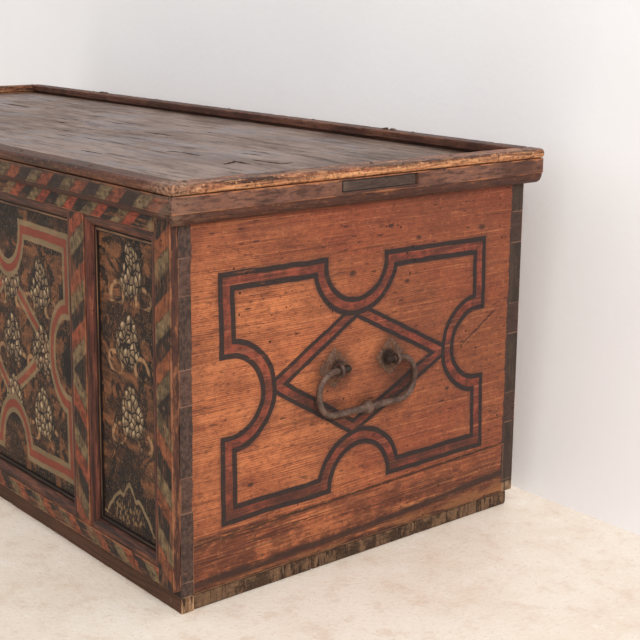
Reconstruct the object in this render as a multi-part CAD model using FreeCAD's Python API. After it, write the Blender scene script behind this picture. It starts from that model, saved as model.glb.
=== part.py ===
import FreeCAD, Part
import math
import os

# Painted board chest: dovetailed walls, applied front frame, rimmed lid on
# snipe hinges, drop handles on the ends, and a lock behind the front.
# Millimetres. X runs along the chest, -Y is the front and Z is up from the floor.

V = FreeCAD.Vector
X_DIR, Y_DIR, Z_DIR = V(1, 0, 0), V(0, 1, 0), V(0, 0, 1)

# Driving sizes of the box
length = 1500.0
depth = 600.0
wall_height = 485.0
base_thickness = 22.0
front_board = 18.0
back_board = 21.0
end_board = 22.0
seam_gap = 0.8
overrun = 5.0

# Seams between the wide and the narrow board of each wall, above the floor
end_seam_front = 85.0
end_seam_back = 100.0
front_seam = 83.0
back_seam = 172.0

# Through dovetails: pins on the end boards, tails on the front and back boards
pin_centre_shares = (0.273, 0.555, 0.837)
pin_width = 46.0
dovetail_slope_share = 0.167

# Bottom boards, nailed up under the walls, and the strip along the front
bottom_boards = 3
plinth_depth = 19.5
bottom_back_setback = 9.0

# Frame applied to the front board
frame_thickness = 11.5
frame_lift = 10.0
frame_top_drop = 1.0
top_rail_height = 27.0
bottom_rail_height = 21.0
corner_stile = 34.0
inner_stile = 36.0
narrow_panel = 168.0

# Moulding planted inside each opening of the frame: bead, quirk and fillet
bead_width = 14.0
bead_height = 10.0
bead_shoulder_share = 0.12
bead_bulge_shares = (0.75, 0.8)
quirk_width = 2.0
quirk_height = 1.5
fillet_width = 4.0
fillet_height = 2.5

# Lid
lid_plank = 18.0
lid_gap = 1.0
lid_back_reach = 20.0
lid_seam_from_front = 222.0
fascia_height = 21.0
side_fascia = 18.0
front_fascia = 9.5
fascia_step = 1.5
side_ovolo_drop = 16.0
front_ovolo_drop = 8.5
ovolo_foot = 2.0

# Rim strip on the lid: a bullnose outside, an undercut inside
rim_height = 14.0
nose_reach = 1.5
rim_inner = 13.0
undercut_depth = 8.0
undercut_height = 5.0
back_rail_width = 28.0
batten_width = 50.0
batten_thickness = 18.0
batten_clearance = 12.0
batten_from_end = 300.0

# Piece let into the right fascia, with the gap that is left at one end
patch_from_front = 236.0
patch_length = 129.0
patch_gap = 5.0
patch_joint = 0.6
patch_height = 15.0
patch_lift = 4.5
patch_depth = 8.0

# Drop handles
handle_height = 275.0
handle_from_front = 293.0
eye_spacing = 100.0
eye_stand = 12.0
eye_wire = 5.0
eye_clearance = 0.4
eye_shank_height = 8.0
bail_wire = 9.0
bail_half_width = 85.0
bail_drop = 60.0
bail_shoulder = 57.0
bail_top_radius = 28.0
bail_low_radius = 28.0
bail_end = 37.0
bail_end_knob = 6.0
bail_swell = 12.0
collar_radius = 9.0
collar_width = 11.0
plate_width = 56.0
plate_height = 58.0
plate_thickness = 1.5
plate_waist_share = 0.72
clench_length = 22.0
clench_thickness = 2.5

# Snipe hinges: an eye through the back board, a loop up through the lid
hinge_from_end = 300.0
hinge_stand = 9.0
hinge_drop = 12.0
hinge_wire = 6.0
hinge_clearance = 0.1
hinge_side_play = 0.7
hinge_bend = 5.0
hinge_shank_height = 8.0
hinge_tip_length = 11.0
hinge_tip_height = 3.0

# Lock behind the front board
lock_plate_width = 130.0
lock_plate_height = 120.0
lock_plate_thickness = 2.0
lock_top_drop = 9.0
lock_case_width = 112.0
lock_case_height = 106.0
lock_case_depth = 26.0
lock_case_wall = 2.0
lock_case_margin = 5.0
bolt_drop = 58.0
bolt_height = 10.0
bolt_thickness = 6.0
bolt_stand = 8.0
bolt_tail = 48.0
bolt_head = 24.0
bolt_travel = 15.0
bolt_clearance = 0.3
notch_width = 14.0
notch_depth = 4.5
bridge_width = 5.0
bridge_wall = 2.5
bridge_tail_at = -35.0
bridge_head_at = 19.0
catch_at = 31.0
catch_thickness = 6.0
catch_length = 69.0
catch_window_height = 13.0
catch_window_width = 8.0
catch_cheek = 3.5
catch_plate_length = 56.0
catch_plate_width = 26.0
catch_plate_thickness = 2.0
catch_slot_play = 2.5

# Key
key_drop = 16.0
key_shaft = 7.0
key_clearance = 0.1
key_reach = 24.0
key_bow_radius = 13.0
key_bow_wire = 6.0
key_bit_radius = 14.0
key_bit_width = 4.0
key_bit_length = 6.0
key_rest_angle = 45.0
keyhole_slot_width = 6.0
keyhole_slot_drop = 17.0
escutcheon_width = 44.0
escutcheon_height = 66.0
escutcheon_thickness = 1.5

# Nails
nail_shank = 3.0
nail_head = 6.5
nail_head_height = 1.2
nail_length = 34.0
small_nail_shank = 2.4
small_nail_head = 4.6
small_nail_head_height = 1.0
small_nail_length = 14.0
nail_edge = 24.0
lock_nail_edge = 5.0
escutcheon_nail_edge = 8.0
frame_nail_length = 24.0

# Derived planes
top = base_thickness + wall_height
plank_top = top + lid_plank
fascia_top = top + fascia_height
rim_top = fascia_top + rim_height
half = length / 2
frame_face_reach = frame_thickness + lid_gap
fascia_reach = frame_face_reach + front_fascia
nose_front_reach = fascia_reach + nose_reach
bow_reach = key_reach + 2 * key_bow_radius + key_bow_wire / 2
front_reach = max(nose_front_reach, bow_reach)
front = -(depth + front_reach + lid_back_reach) / 2 + front_reach
back = front + depth
frame_face = front - frame_thickness
frame_bottom = base_thickness + frame_lift
frame_top = top - frame_top_drop
opening_low = frame_bottom + bottom_rail_height
opening_high = frame_top - top_rail_height
lid_front = front - frame_face_reach
lid_back = back + lid_back_reach
lid_half = half + lid_gap

os.makedirs("parts", exist_ok=True)


# Small builders
def block(x0, x1, y0, y1, z0, z1):
    """Box between two corners."""
    return Part.makeBox(x1 - x0, y1 - y0, z1 - z0, V(x0, y0, z0))


def rod(start, direction, radius, run):
    return Part.makeCylinder(radius, run, start, direction)


def prism(points, sweep):
    """Closed outline of corner points, swept along a vector."""
    return Part.Face(Part.makePolygon(points + [points[0]])).extrude(sweep)


def profile(edges, sweep):
    """Closed outline of edges, swept along a vector."""
    return Part.Face(Part.Wire(edges)).extrude(sweep)


def line(a, b):
    return Part.LineSegment(a, b).toShape()


def arc(a, middle, b):
    return Part.Arc(a, middle, b).toShape()


def fuse(solids):
    joined = solids[0]
    for solid in solids[1:]:
        joined = joined.fuse(solid)
    return joined.removeSplitter()


def bored(solid, tools):
    """Cut each tool that reaches the solid out of it."""
    for tool in tools:
        if solid.BoundBox.intersect(tool.BoundBox):
            solid = solid.cut(tool)
    return solid


def mirrored(solid):
    return solid.mirror(V(0, 0, 0), X_DIR)


def write(node, solids):
    """One STEP file for one node, of one solid or a group of separate ones."""
    shape = solids[0] if len(solids) == 1 else Part.makeCompound(solids)
    shape.exportStep("parts/" + node + ".step")


def nail(head_centre, inward, shank, head, head_height, run):
    """Hand-made nail: a faceless low cone for the head, on a round shank."""
    outward = inward.negative()
    cap = Part.makeCone(head / 2, shank / 2, head_height, head_centre, outward)
    return fuse([cap, rod(head_centre, inward, shank / 2, run)])


def rose_nail(head_centre, inward):
    return nail(head_centre, inward, nail_shank, nail_head, nail_head_height, nail_length)


def small_nail(head_centre, inward, run=small_nail_length):
    return nail(head_centre, inward, small_nail_shank, small_nail_head,
                small_nail_head_height, run)


# Drop handles
def eye_pin(y):
    """Iron eye in the XZ plane, its shank through the end board, tips clenched."""
    centre = V(half + eye_stand, y, handle_height)
    hole = bail_wire / 2 + eye_clearance
    ring_radius = hole + eye_wire / 2
    inner = half - end_board
    ring = Part.makeTorus(ring_radius, eye_wire / 2, centre, Y_DIR)
    low, high = handle_height - eye_shank_height / 2, handle_height + eye_shank_height / 2
    near, far = y - eye_wire / 2, y + eye_wire / 2
    shank = block(inner, centre.x - ring_radius, near, far, low, high)
    tips = block(inner - clench_thickness, inner, near, far,
                 low - clench_length, high + clench_length)
    return fuse([ring, shank, tips])


def handle_plate(y):
    """Thin lozenge plate with hollow sides, under one eye."""
    wide, tall = plate_width / 2, plate_height / 2
    waist = plate_waist_share / 2
    corners = []
    for side, up in ((1, 1), (-1, 1), (-1, -1), (1, -1)):
        tip = V(half, y + side * wide, handle_height)
        hollow = V(half, y + side * wide * waist, handle_height + up * tall * waist)
        peak = V(half, y, handle_height + up * tall)
        order = (tip, hollow, peak) if side == up else (peak, hollow, tip)
        corners.append(order)
    points = []
    for order in corners:
        points.extend(order[:2])
    return prism(points, V(plate_thickness, 0, 0))


def bail():
    """Forged bail hanging in the YZ plane, swollen towards a collar at its middle."""
    x = half + eye_stand
    mid = front + handle_from_front
    radius = bail_wire / 2
    low = handle_height - bail_drop
    swell_start = bail_half_width - bail_low_radius
    diagonal = math.sqrt(0.5)
    solids = []
    for side in (-1, 1):
        def at(u, z):
            return V(x, mid + side * u, z)
        top_turn = at(bail_shoulder, handle_height - bail_top_radius)
        low_turn = at(swell_start, low + bail_low_radius)
        path = Part.Wire([
            line(at(bail_end, handle_height), at(bail_shoulder, handle_height)),
            arc(at(bail_shoulder, handle_height),
                top_turn + V(0, side * bail_top_radius * diagonal, bail_top_radius * diagonal),
                at(bail_shoulder + bail_top_radius, handle_height - bail_top_radius)),
            line(at(bail_shoulder + bail_top_radius, handle_height - bail_top_radius),
                 at(bail_half_width, low + bail_low_radius)),
            arc(at(bail_half_width, low + bail_low_radius),
                low_turn + V(0, side * bail_low_radius * diagonal, -bail_low_radius * diagonal),
                at(swell_start, low))])
        section = Part.Wire([Part.makeCircle(radius, at(bail_end, handle_height), Y_DIR)])
        solids.append(path.makePipeShell([section], True, True))
        solids.append(Part.makeSphere(bail_end_knob, at(bail_end, handle_height)))
        solids.append(Part.makeCone(radius, bail_swell / 2, swell_start, at(swell_start, low),
                                    V(0, -side, 0)))
    solids.append(Part.makeSphere(collar_radius, V(x, mid, low)))
    rounded = fuse(solids)
    collar = rod(V(x, mid - collar_width / 2, low), Y_DIR, collar_radius, collar_width)
    limits = block(x - bail_drop, x + bail_drop, mid - bail_drop, mid + bail_drop,
                   low - bail_drop, low + bail_drop)
    return fuse([rounded, collar.common(limits)])


eye_places = [front + handle_from_front + side * eye_spacing / 2 for side in (-1, 1)]
eye_pins_right = [eye_pin(y) for y in eye_places]
plates_right = [bored(handle_plate(y), eye_pins_right) for y in eye_places]
bail_right = bail()
write("handle_eyes_right", eye_pins_right)
write("handle_eyes_left", [mirrored(pin) for pin in eye_pins_right])
write("handle_plates_right", plates_right)
write("handle_plates_left", [mirrored(plate) for plate in plates_right])
write("handle_bail_right", [bail_right])
write("handle_bail_left", [mirrored(bail_right)])

# Snipe hinges
hinge_axis_y = back + hinge_stand
hinge_axis_z = top - hinge_drop


def hinge_eye(x):
    """Eye in the YZ plane behind the back board, its shank clenched inside."""
    ring_radius = hinge_wire / 2 + hinge_clearance + hinge_wire / 2
    centre = V(x, hinge_axis_y, hinge_axis_z)
    inner = back - back_board
    low, high = hinge_axis_z - hinge_shank_height / 2, hinge_axis_z + hinge_shank_height / 2
    near, far = x - hinge_wire / 2, x + hinge_wire / 2
    ring = Part.makeTorus(ring_radius, hinge_wire / 2, centre, X_DIR)
    shank = block(near, far, inner, hinge_axis_y - ring_radius, low, high)
    tips = block(near, far, inner - clench_thickness, inner, low - clench_length, high)
    return fuse([ring, shank, tips])


def hinge_loop(x):
    """Loop whose foot is the hinge pin, its legs up through plank and rail."""
    foot = hinge_wire / 2 + hinge_side_play
    leg = foot + hinge_bend
    rise = hinge_axis_z + hinge_bend
    y = hinge_axis_y
    diagonal = hinge_bend * math.sqrt(0.5)
    turn_left, turn_right = V(x - foot, y, rise), V(x + foot, y, rise)
    path = Part.Wire([
        line(V(x - leg, y, rim_top), V(x - leg, y, rise)),
        arc(V(x - leg, y, rise), turn_left + V(-diagonal, 0, -diagonal),
            V(x - foot, y, hinge_axis_z)),
        line(V(x - foot, y, hinge_axis_z), V(x + foot, y, hinge_axis_z)),
        arc(V(x + foot, y, hinge_axis_z), turn_right + V(diagonal, 0, -diagonal),
            V(x + leg, y, rise)),
        line(V(x + leg, y, rise), V(x + leg, y, rim_top))])
    section = Part.Wire([Part.makeCircle(hinge_wire / 2, V(x - leg, y, rim_top), Z_DIR)])
    wire = path.makePipeShell([section], True, True)
    reach = leg + hinge_tip_length
    inner, half_wire = leg - hinge_wire / 2, hinge_wire / 2
    tips = [prism([V(x + side * inner, y - half_wire, rim_top),
                   V(x + side * reach, y - half_wire, rim_top),
                   V(x + side * leg, y - half_wire, rim_top + hinge_tip_height),
                   V(x + side * inner, y - half_wire, rim_top + hinge_tip_height)],
                  V(0, hinge_wire, 0)) for side in (-1, 1)]
    return fuse([wire] + tips)


hinge_places = [side * (half - hinge_from_end) for side in (-1, 1)]
hinge_eyes = [hinge_eye(x) for x in hinge_places]
hinge_loops = [hinge_loop(x) for x in hinge_places]
write("hinge_eye_left", [hinge_eyes[0]])
write("hinge_eye_right", [hinge_eyes[1]])
write("hinge_loop_left", [hinge_loops[0]])
write("hinge_loop_right", [hinge_loops[1]])

# Lock
lock_face = front + front_board
plate_face = lock_face + lock_plate_thickness
bolt_z = top - bolt_drop
key_z = bolt_z - key_drop
bolt_low, bolt_high = bolt_z - bolt_height / 2, bolt_z + bolt_height / 2
bolt_near = plate_face + bolt_stand
bolt_far = bolt_near + bolt_thickness
catch_y = (bolt_near + bolt_far) / 2
catch_near = catch_y - catch_window_width / 2 - catch_cheek
catch_far = catch_y + catch_window_width / 2 + catch_cheek
lock_high = top - lock_top_drop
lock_low = lock_high - lock_plate_height
keyhole_radius = key_shaft / 2 + key_clearance


def keyhole(y0, y1):
    """Round hole for the shaft with a slot below it for the bit."""
    round_part = rod(V(0, y0, key_z), Y_DIR, keyhole_radius, y1 - y0)
    slot = block(-keyhole_slot_width / 2, keyhole_slot_width / 2, y0, y1,
                 key_z - keyhole_slot_drop, key_z)
    return fuse([round_part, slot])


def lock_plate():
    """Iron plate on the inner face, with two bridges that guide the bolt."""
    plate = block(-lock_plate_width / 2, lock_plate_width / 2, lock_face, plate_face,
                  lock_low, lock_high)
    guides = [plate]
    for x in (bridge_tail_at, bridge_head_at):
        near, far = x - bridge_width / 2, x + bridge_width / 2
        shell = block(near, far, plate_face, bolt_far + bolt_clearance + bridge_wall,
                      bolt_low - bolt_clearance - bridge_wall,
                      bolt_high + bolt_clearance + bridge_wall)
        tunnel = block(near - overrun, far + overrun,
                       bolt_near - bolt_clearance, bolt_far + bolt_clearance,
                       bolt_low - bolt_clearance, bolt_high + bolt_clearance)
        guides.append(shell.cut(tunnel))
    return fuse(guides)


def lock_case():
    """Open box over the works, with a slot in its top for the catch."""
    wide = lock_case_width / 2
    high = lock_high - lock_case_margin
    low = high - lock_case_height
    outer = block(-wide, wide, plate_face, plate_face + lock_case_depth, low, high)
    hollow = block(-wide + lock_case_wall, wide - lock_case_wall, plate_face - overrun,
                   plate_face + lock_case_depth - lock_case_wall,
                   low + lock_case_wall, high - lock_case_wall)
    slot_half = catch_thickness / 2 + catch_slot_play
    slot = block(catch_at - slot_half, catch_at + slot_half, plate_face - overrun,
                 catch_far + catch_slot_play, high - overrun, high + overrun)
    return outer.cut(hollow).cut(slot)


def lock_bolt():
    bar = block(-bolt_tail, bolt_head, bolt_near, bolt_far, bolt_low, bolt_high)
    notch_mid = -bolt_travel / 2
    notch = block(notch_mid - notch_width / 2, notch_mid + notch_width / 2,
                  bolt_near - overrun, bolt_far + overrun, bolt_low - overrun,
                  bolt_low + notch_depth)
    return bar.cut(notch)


def key():
    """Shaft through the front board, bit below the bolt, ring bow outside."""
    bit_near = bolt_near
    inner = bit_near + key_bit_length
    outer = front - key_reach
    radius = key_shaft / 2
    shaft = rod(V(0, outer, key_z), Y_DIR, radius, inner - outer)
    bit = block(-key_bit_width / 2, key_bit_width / 2, bit_near, inner,
                key_z, key_z + key_bit_radius)
    bit.rotate(V(0, 0, key_z), Y_DIR, -key_rest_angle)
    bow = Part.makeTorus(key_bow_radius, key_bow_wire / 2,
                         V(0, outer - key_bow_radius, key_z), X_DIR)
    return fuse([shaft, bit, bow])


def escutcheon():
    """Pointed oval plate round the keyhole."""
    wide, tall = escutcheon_width / 2, escutcheon_height / 2
    z = key_z - keyhole_slot_drop / 2
    face = front - escutcheon_thickness
    up, down = V(0, face, z + tall), V(0, face, z - tall)
    plate = profile([arc(up, V(wide, face, z), down), arc(down, V(-wide, face, z), up)],
                    V(0, escutcheon_thickness, 0))
    return plate


lock_nails = []
for side in (-1, 1):
    for z in (lock_low + lock_nail_edge, lock_high - lock_nail_edge):
        x = side * (lock_plate_width / 2 - lock_nail_edge)
        lock_nails.append(small_nail(V(x, plate_face, z), Y_DIR.negative()))
escutcheon_nails = []
for up in (-1, 1):
    z = key_z - keyhole_slot_drop / 2 + up * (escutcheon_height / 2 - escutcheon_nail_edge)
    escutcheon_nails.append(small_nail(V(0, front - escutcheon_thickness, z), Y_DIR))
keyhole_cut = keyhole(front - overrun, plate_face + overrun)
write("lock_plate", [bored(lock_plate(), [keyhole_cut] + lock_nails)])
write("lock_case", [lock_case()])
write("lock_bolt", [lock_bolt()])
write("key", [key()])
write("escutcheon", [bored(escutcheon(), [keyhole_cut] + escutcheon_nails)])


# Catch of the lock, under the front of the lid
def lid_catch():
    """Plate under the lid with a tongue; the bolt passes through its window."""
    foot = top - catch_length
    plate = block(catch_at - catch_plate_length / 2, catch_at + catch_plate_length / 2,
                  lock_face + bolt_clearance, lock_face + bolt_clearance + catch_plate_width,
                  top - catch_plate_thickness, top)
    tongue = block(catch_at - catch_thickness / 2, catch_at + catch_thickness / 2,
                   catch_near, catch_far, foot, top - catch_plate_thickness)
    window = block(catch_at - overrun, catch_at + overrun,
                   catch_y - catch_window_width / 2, catch_y + catch_window_width / 2,
                   bolt_z - catch_window_height / 2, bolt_z + catch_window_height / 2)
    return fuse([plate, tongue]).cut(window)


catch_nails = []
for side in (-1, 1):
    x = catch_at + side * (catch_plate_length / 2 - lock_nail_edge)
    y = lock_face + bolt_clearance + catch_plate_width / 2
    catch_nails.append(small_nail(V(x, y, top - catch_plate_thickness), Z_DIR))
write("lid_catch", [bored(lid_catch(), catch_nails)])

# Nails of the carcase
bottom_nails = []
bottom_front = front + plinth_depth + seam_gap
bottom_back = back - bottom_back_setback
board_pitch = (bottom_back - bottom_front) / bottom_boards
for side in (-1, 1):
    for board in range(bottom_boards):
        for spot_share in (0.25, 0.75):
            y = bottom_front + board_pitch * (board + spot_share)
            x = side * (half - end_board / 2)
            bottom_nails.append(rod(V(x, y, 0), Z_DIR, nail_shank, base_thickness + nail_length))
plinth_nails = []
plinth_spots = 7
for spot in range(plinth_spots):
    x = (spot / (plinth_spots - 1) - 0.5) * (length - 2 * nail_edge)
    plinth_nails.append(small_nail(V(x, front, base_thickness / 2), Y_DIR, nail_length))

# Openings of the front frame, from the right end to the left
wide_panel = half - corner_stile - narrow_panel - 2 * inner_stile - narrow_panel / 2
opening_widths = (narrow_panel, wide_panel, narrow_panel, wide_panel, narrow_panel)
openings = []
left = -half + corner_stile
for width in opening_widths:
    openings.append((left, left + width))
    left += width + inner_stile

frame_nails = []
for left_opening, right_opening in zip(openings[:-1], openings[1:]):
    x = (left_opening[1] + right_opening[0]) / 2
    for z in (opening_low + nail_edge, opening_high - nail_edge):
        frame_nails.append(small_nail(V(x, frame_face, z), Y_DIR, frame_nail_length))
for side in (-1, 1):
    x = side * (half - corner_stile / 2)
    for z in (opening_low + nail_edge, (opening_low + opening_high) / 2,
              opening_high - nail_edge):
        frame_nails.append(small_nail(V(x, frame_face, z), Y_DIR, frame_nail_length))
carcase_nails = plinth_nails + frame_nails + lock_nails + escutcheon_nails


# Walls
def pins(y0, y1):
    """Dovetail pins of the right end board between two faces of a front or back board."""
    solids = []
    flare = end_board * dovetail_slope_share
    for share in pin_centre_shares:
        z = base_thickness + wall_height * share
        outer, inner = pin_width / 2, pin_width / 2 + flare
        solids.append(prism([V(half, y0, z - outer), V(half, y0, z + outer),
                             V(half - end_board, y0, z + inner),
                             V(half - end_board, y0, z - inner)], V(0, y1 - y0, 0)))
    return solids


front_pins = pins(front, front + front_board)
back_pins = pins(back - back_board, back)
end_wall = fuse([block(half - end_board, half, front + front_board, back - back_board,
                       base_thickness, top)] + front_pins + back_pins)
end_wall = bored(end_wall, eye_pins_right + bottom_nails + frame_nails)


def below_seam(z_front, z_back):
    """Space under a seam that may slope from the front to the back."""
    return prism([V(-length, front - depth, -length),
                  V(-length, front - depth, z_front + (z_front - z_back)),
                  V(-length, back + depth, z_back + (z_back - z_front)),
                  V(-length, back + depth, -length)], V(2 * length, 0, 0))


def split(solid, z_front, z_back, gap):
    """Upper and lower board on either side of a seam."""
    lower = solid.common(below_seam(z_front - gap / 2, z_back - gap / 2))
    upper = solid.cut(below_seam(z_front + gap / 2, z_back + gap / 2))
    return upper, lower


end_upper, end_lower = split(end_wall, end_seam_front, end_seam_back, seam_gap)
write("end_board_upper_right", [end_upper])
write("end_board_lower_right", [end_lower])
write("end_board_upper_left", [mirrored(end_upper)])
write("end_board_lower_left", [mirrored(end_lower)])

tail_cuts = front_pins + back_pins
tail_cuts += [mirrored(pin) for pin in tail_cuts]
front_wall = block(-half, half, front, front + front_board, base_thickness, top)
front_wall = bored(front_wall, tail_cuts + [keyhole_cut] + carcase_nails)
front_upper, front_lower = split(front_wall, front_seam, front_seam, seam_gap / 2)
write("front_board_upper", [front_upper])
write("front_board_lower", [front_lower])

back_wall = block(-half, half, back - back_board, back, base_thickness, top)
back_wall = bored(back_wall, tail_cuts + hinge_eyes)
back_upper, back_lower = split(back_wall, back_seam, back_seam, seam_gap)
write("back_board_upper", [back_upper])
write("back_board_lower", [back_lower])

# Bottom boards and front strip
for board, place in enumerate(("front", "middle", "back")):
    y = bottom_front + board_pitch * board
    solid = block(-half, half, y, y + board_pitch - seam_gap, 0, base_thickness)
    write("bottom_board_" + place, [bored(solid, bottom_nails + plinth_nails)])
plinth = block(-half, half, front, front + plinth_depth, 0, base_thickness)
write("plinth_strip", [bored(plinth, plinth_nails)])
write("bottom_nails", bottom_nails)

# Applied frame of the front
for side, name in ((-1, "left"), (1, "right")):
    inner, outer = side * (half - corner_stile), side * half
    stile = block(min(inner, outer), max(inner, outer), frame_face, front,
                  frame_bottom, frame_top)
    write("corner_stile_" + name, [bored(stile, frame_nails)])
rail_half = half - corner_stile
write("frame_top_rail", [block(-rail_half, rail_half, frame_face, front,
                               opening_high, frame_top)])
write("frame_bottom_rail", [block(-rail_half, rail_half, frame_face, front,
                                  frame_bottom, opening_low)])
stile_names = ("outer_left", "inner_left", "inner_right", "outer_right")
for name, left_opening, right_opening in zip(stile_names, openings[:-1], openings[1:]):
    stile = block(left_opening[1], right_opening[0], frame_face, front,
                  opening_low, opening_high)
    write("stile_" + name, [bored(stile, frame_nails)])
write("frame_nails", frame_nails + plinth_nails)
write("lock_nails", lock_nails + escutcheon_nails)

# Mouldings planted round each panel
moulding_width = bead_width + quirk_width + fillet_width


def moulding_section(corner, inward, sweep):
    """Bead, quirk and fillet, from the frame's edge towards the panel's middle."""
    def at(run, rise):
        return corner + inward * run + V(0, -rise, 0)
    shoulder_run, shoulder_rise = bead_width * bead_shoulder_share, bead_height
    quirk_end = bead_width + quirk_width
    bulge_run_share, bulge_rise_share = bead_bulge_shares
    bead_middle = at(bead_width * bulge_run_share, bead_height * bulge_rise_share)
    return profile([
        line(at(0, 0), at(0, shoulder_rise)),
        line(at(0, shoulder_rise), at(shoulder_run, shoulder_rise)),
        arc(at(shoulder_run, shoulder_rise), bead_middle, at(bead_width, quirk_height)),
        line(at(bead_width, quirk_height), at(quirk_end, quirk_height)),
        line(at(quirk_end, quirk_height), at(quirk_end, fillet_height)),
        line(at(quirk_end, fillet_height), at(moulding_width, fillet_height)),
        line(at(moulding_width, fillet_height), at(moulding_width, 0)),
        line(at(moulding_width, 0), at(0, 0))], sweep)


def mitre(a, b, c, d):
    """Wedge that keeps one side of the ring, from four corners of a trapezoid."""
    return prism([V(p[0], front - bead_height - overrun, p[1]) for p in (a, b, c, d)],
                 V(0, bead_height + 2 * overrun, 0))


def panel_ring(x0, x1):
    """Four mitred strips round one opening."""
    w, z0, z1 = moulding_width, opening_low, opening_high
    outer = ((x0, z0), (x1, z0), (x1, z1), (x0, z1))
    inner = ((x0 + w, z0 + w), (x1 - w, z0 + w), (x1 - w, z1 - w), (x0 + w, z1 - w))
    run_x, run_z = V(x1 - x0, 0, 0), V(0, 0, z1 - z0)
    strips = (moulding_section(V(x0, front, z0), Z_DIR, run_x),
              moulding_section(V(x1, front, z0), X_DIR.negative(), run_z),
              moulding_section(V(x0, front, z1), Z_DIR.negative(), run_x),
              moulding_section(V(x0, front, z0), X_DIR, run_z))
    ring = []
    for side, strip in enumerate(strips):
        after = (side + 1) % 4
        keep = mitre(outer[side], outer[after], inner[after], inner[side])
        ring.append(strip.common(keep))
    return ring


ring_names = ("end_left", "wide_left", "middle", "wide_right", "end_right")
for name, (x0, x1) in zip(ring_names, openings):
    write("panel_moulding_" + name, panel_ring(x0, x1))

# Lid
nose_front = front - nose_front_reach
nose_half = lid_half + side_fascia + nose_reach
fascia_half = lid_half + side_fascia
fascia_front = front - fascia_reach
rim_front_inner = nose_front + rim_inner + side_fascia + lid_gap + nose_reach
nose_radius = rim_height / 2

lid_nails = []
end_spots, front_spots, rail_spots = 5, 9, 6
for side in (-1, 1):
    for spot in range(end_spots):
        y = lid_front + nail_edge + spot / (end_spots - 1) * (lid_back - lid_front
                                                              - 2 * nail_edge)
        lid_nails.append(rose_nail(V(side * (half - nail_head / 4), y, rim_top),
                                   Z_DIR.negative()))
for spot in range(1, front_spots - 1):
    x = (spot / (front_spots - 1) - 0.5) * 2 * half
    lid_nails.append(rose_nail(V(x, lid_front + nail_head, rim_top), Z_DIR.negative()))
for spot in range(1, rail_spots):
    x = (spot / rail_spots - 0.5) * 2 * half
    lid_nails.append(rose_nail(V(x, lid_back - nail_head, rim_top), Z_DIR.negative()))
lid_pins = hinge_loops + catch_nails + lid_nails

planks = block(-lid_half, lid_half, lid_front, lid_back, top, plank_top)
planks = bored(planks, lid_pins)
lid_seam = front + lid_seam_from_front
fore = block(-nose_half, nose_half, nose_front, lid_seam - seam_gap / 2, 0, rim_top)
aft = block(-nose_half, nose_half, lid_seam + seam_gap / 2, lid_back, 0, rim_top)
write("lid_plank_front", [planks.common(fore)])
write("lid_plank_back", [planks.common(aft)])


def ovolo_section(inner, out, thickness, drop, sweep):
    """Flat fascia over a quarter round that hangs below the lid's underside."""
    def at(run, z):
        return inner + out * run + V(0, 0, z)
    start = thickness - fascia_step
    curve = start - ovolo_foot
    turn = math.sqrt(0.5)
    return profile([
        line(at(0, fascia_top), at(thickness, fascia_top)),
        line(at(thickness, fascia_top), at(thickness, top)),
        line(at(thickness, top), at(start, top)),
        arc(at(start, top), at(ovolo_foot + curve * turn, top - drop * turn),
            at(ovolo_foot, top - drop)),
        line(at(ovolo_foot, top - drop), at(0, top - drop)),
        line(at(0, top - drop), at(0, fascia_top))], sweep)


# The front strip and nosing end on mitres through the lid's front corners
def front_mitre(outer_half, outer_y, width):
    """Space of a front strip whose ends are cut at 45 degrees."""
    return prism([V(-outer_half - overrun, outer_y - overrun, 0),
                  V(outer_half + overrun, outer_y - overrun, 0),
                  V(outer_half - width, outer_y + width, 0),
                  V(width - outer_half, outer_y + width, 0)], V(0, 0, 2 * rim_top))


front_strip_space = front_mitre(fascia_half, fascia_front, front_fascia)
front_strip = ovolo_section(V(-fascia_half, lid_front, 0), Y_DIR.negative(), front_fascia,
                            front_ovolo_drop, V(2 * fascia_half, 0, 0))
write("lid_fascia_front", [front_strip.common(front_strip_space)])

side_run = lid_back - fascia_front
side_strip = ovolo_section(V(lid_half, fascia_front, 0), X_DIR, side_fascia,
                           side_ovolo_drop, V(0, side_run, 0))
side_strip = side_strip.cut(front_strip_space)
square_end = block(0, lid_half + front_fascia - lid_gap, fascia_front, lid_front, 0, rim_top)
side_strip = side_strip.cut(square_end)
write("lid_fascia_left", [mirrored(side_strip)])

patch_low = top + patch_lift
patch_y = front + patch_from_front
patch_face = fascia_half
recess = block(patch_face - patch_depth, patch_face + overrun, patch_y,
               patch_y + patch_length + patch_gap, patch_low, patch_low + patch_height)
write("lid_fascia_right", [side_strip.cut(recess)])
write("lid_fascia_patch", [block(patch_face - patch_depth, patch_face,
                                 patch_y + patch_joint, patch_y + patch_length,
                                 patch_low, patch_low + patch_height)])


def rim_section(outer, inward, width, floor_run, sweep):
    """Bullnose strip: seats on the fascia and the plank, undercut along its inside."""
    def at(run, z):
        return outer + inward * run + V(0, 0, z)
    step = nose_reach + floor_run
    lip = width - undercut_depth
    ledge = plank_top + undercut_height
    return profile([
        arc(at(nose_radius, fascia_top), at(0, fascia_top + nose_radius),
            at(nose_radius, rim_top)),
        line(at(nose_radius, rim_top), at(width, rim_top)),
        line(at(width, rim_top), at(width, ledge)),
        line(at(width, ledge), at(lip, ledge)),
        line(at(lip, ledge), at(lip, plank_top)),
        line(at(lip, plank_top), at(step, plank_top)),
        line(at(step, plank_top), at(step, fascia_top)),
        line(at(step, fascia_top), at(nose_radius, fascia_top))], sweep)


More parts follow.
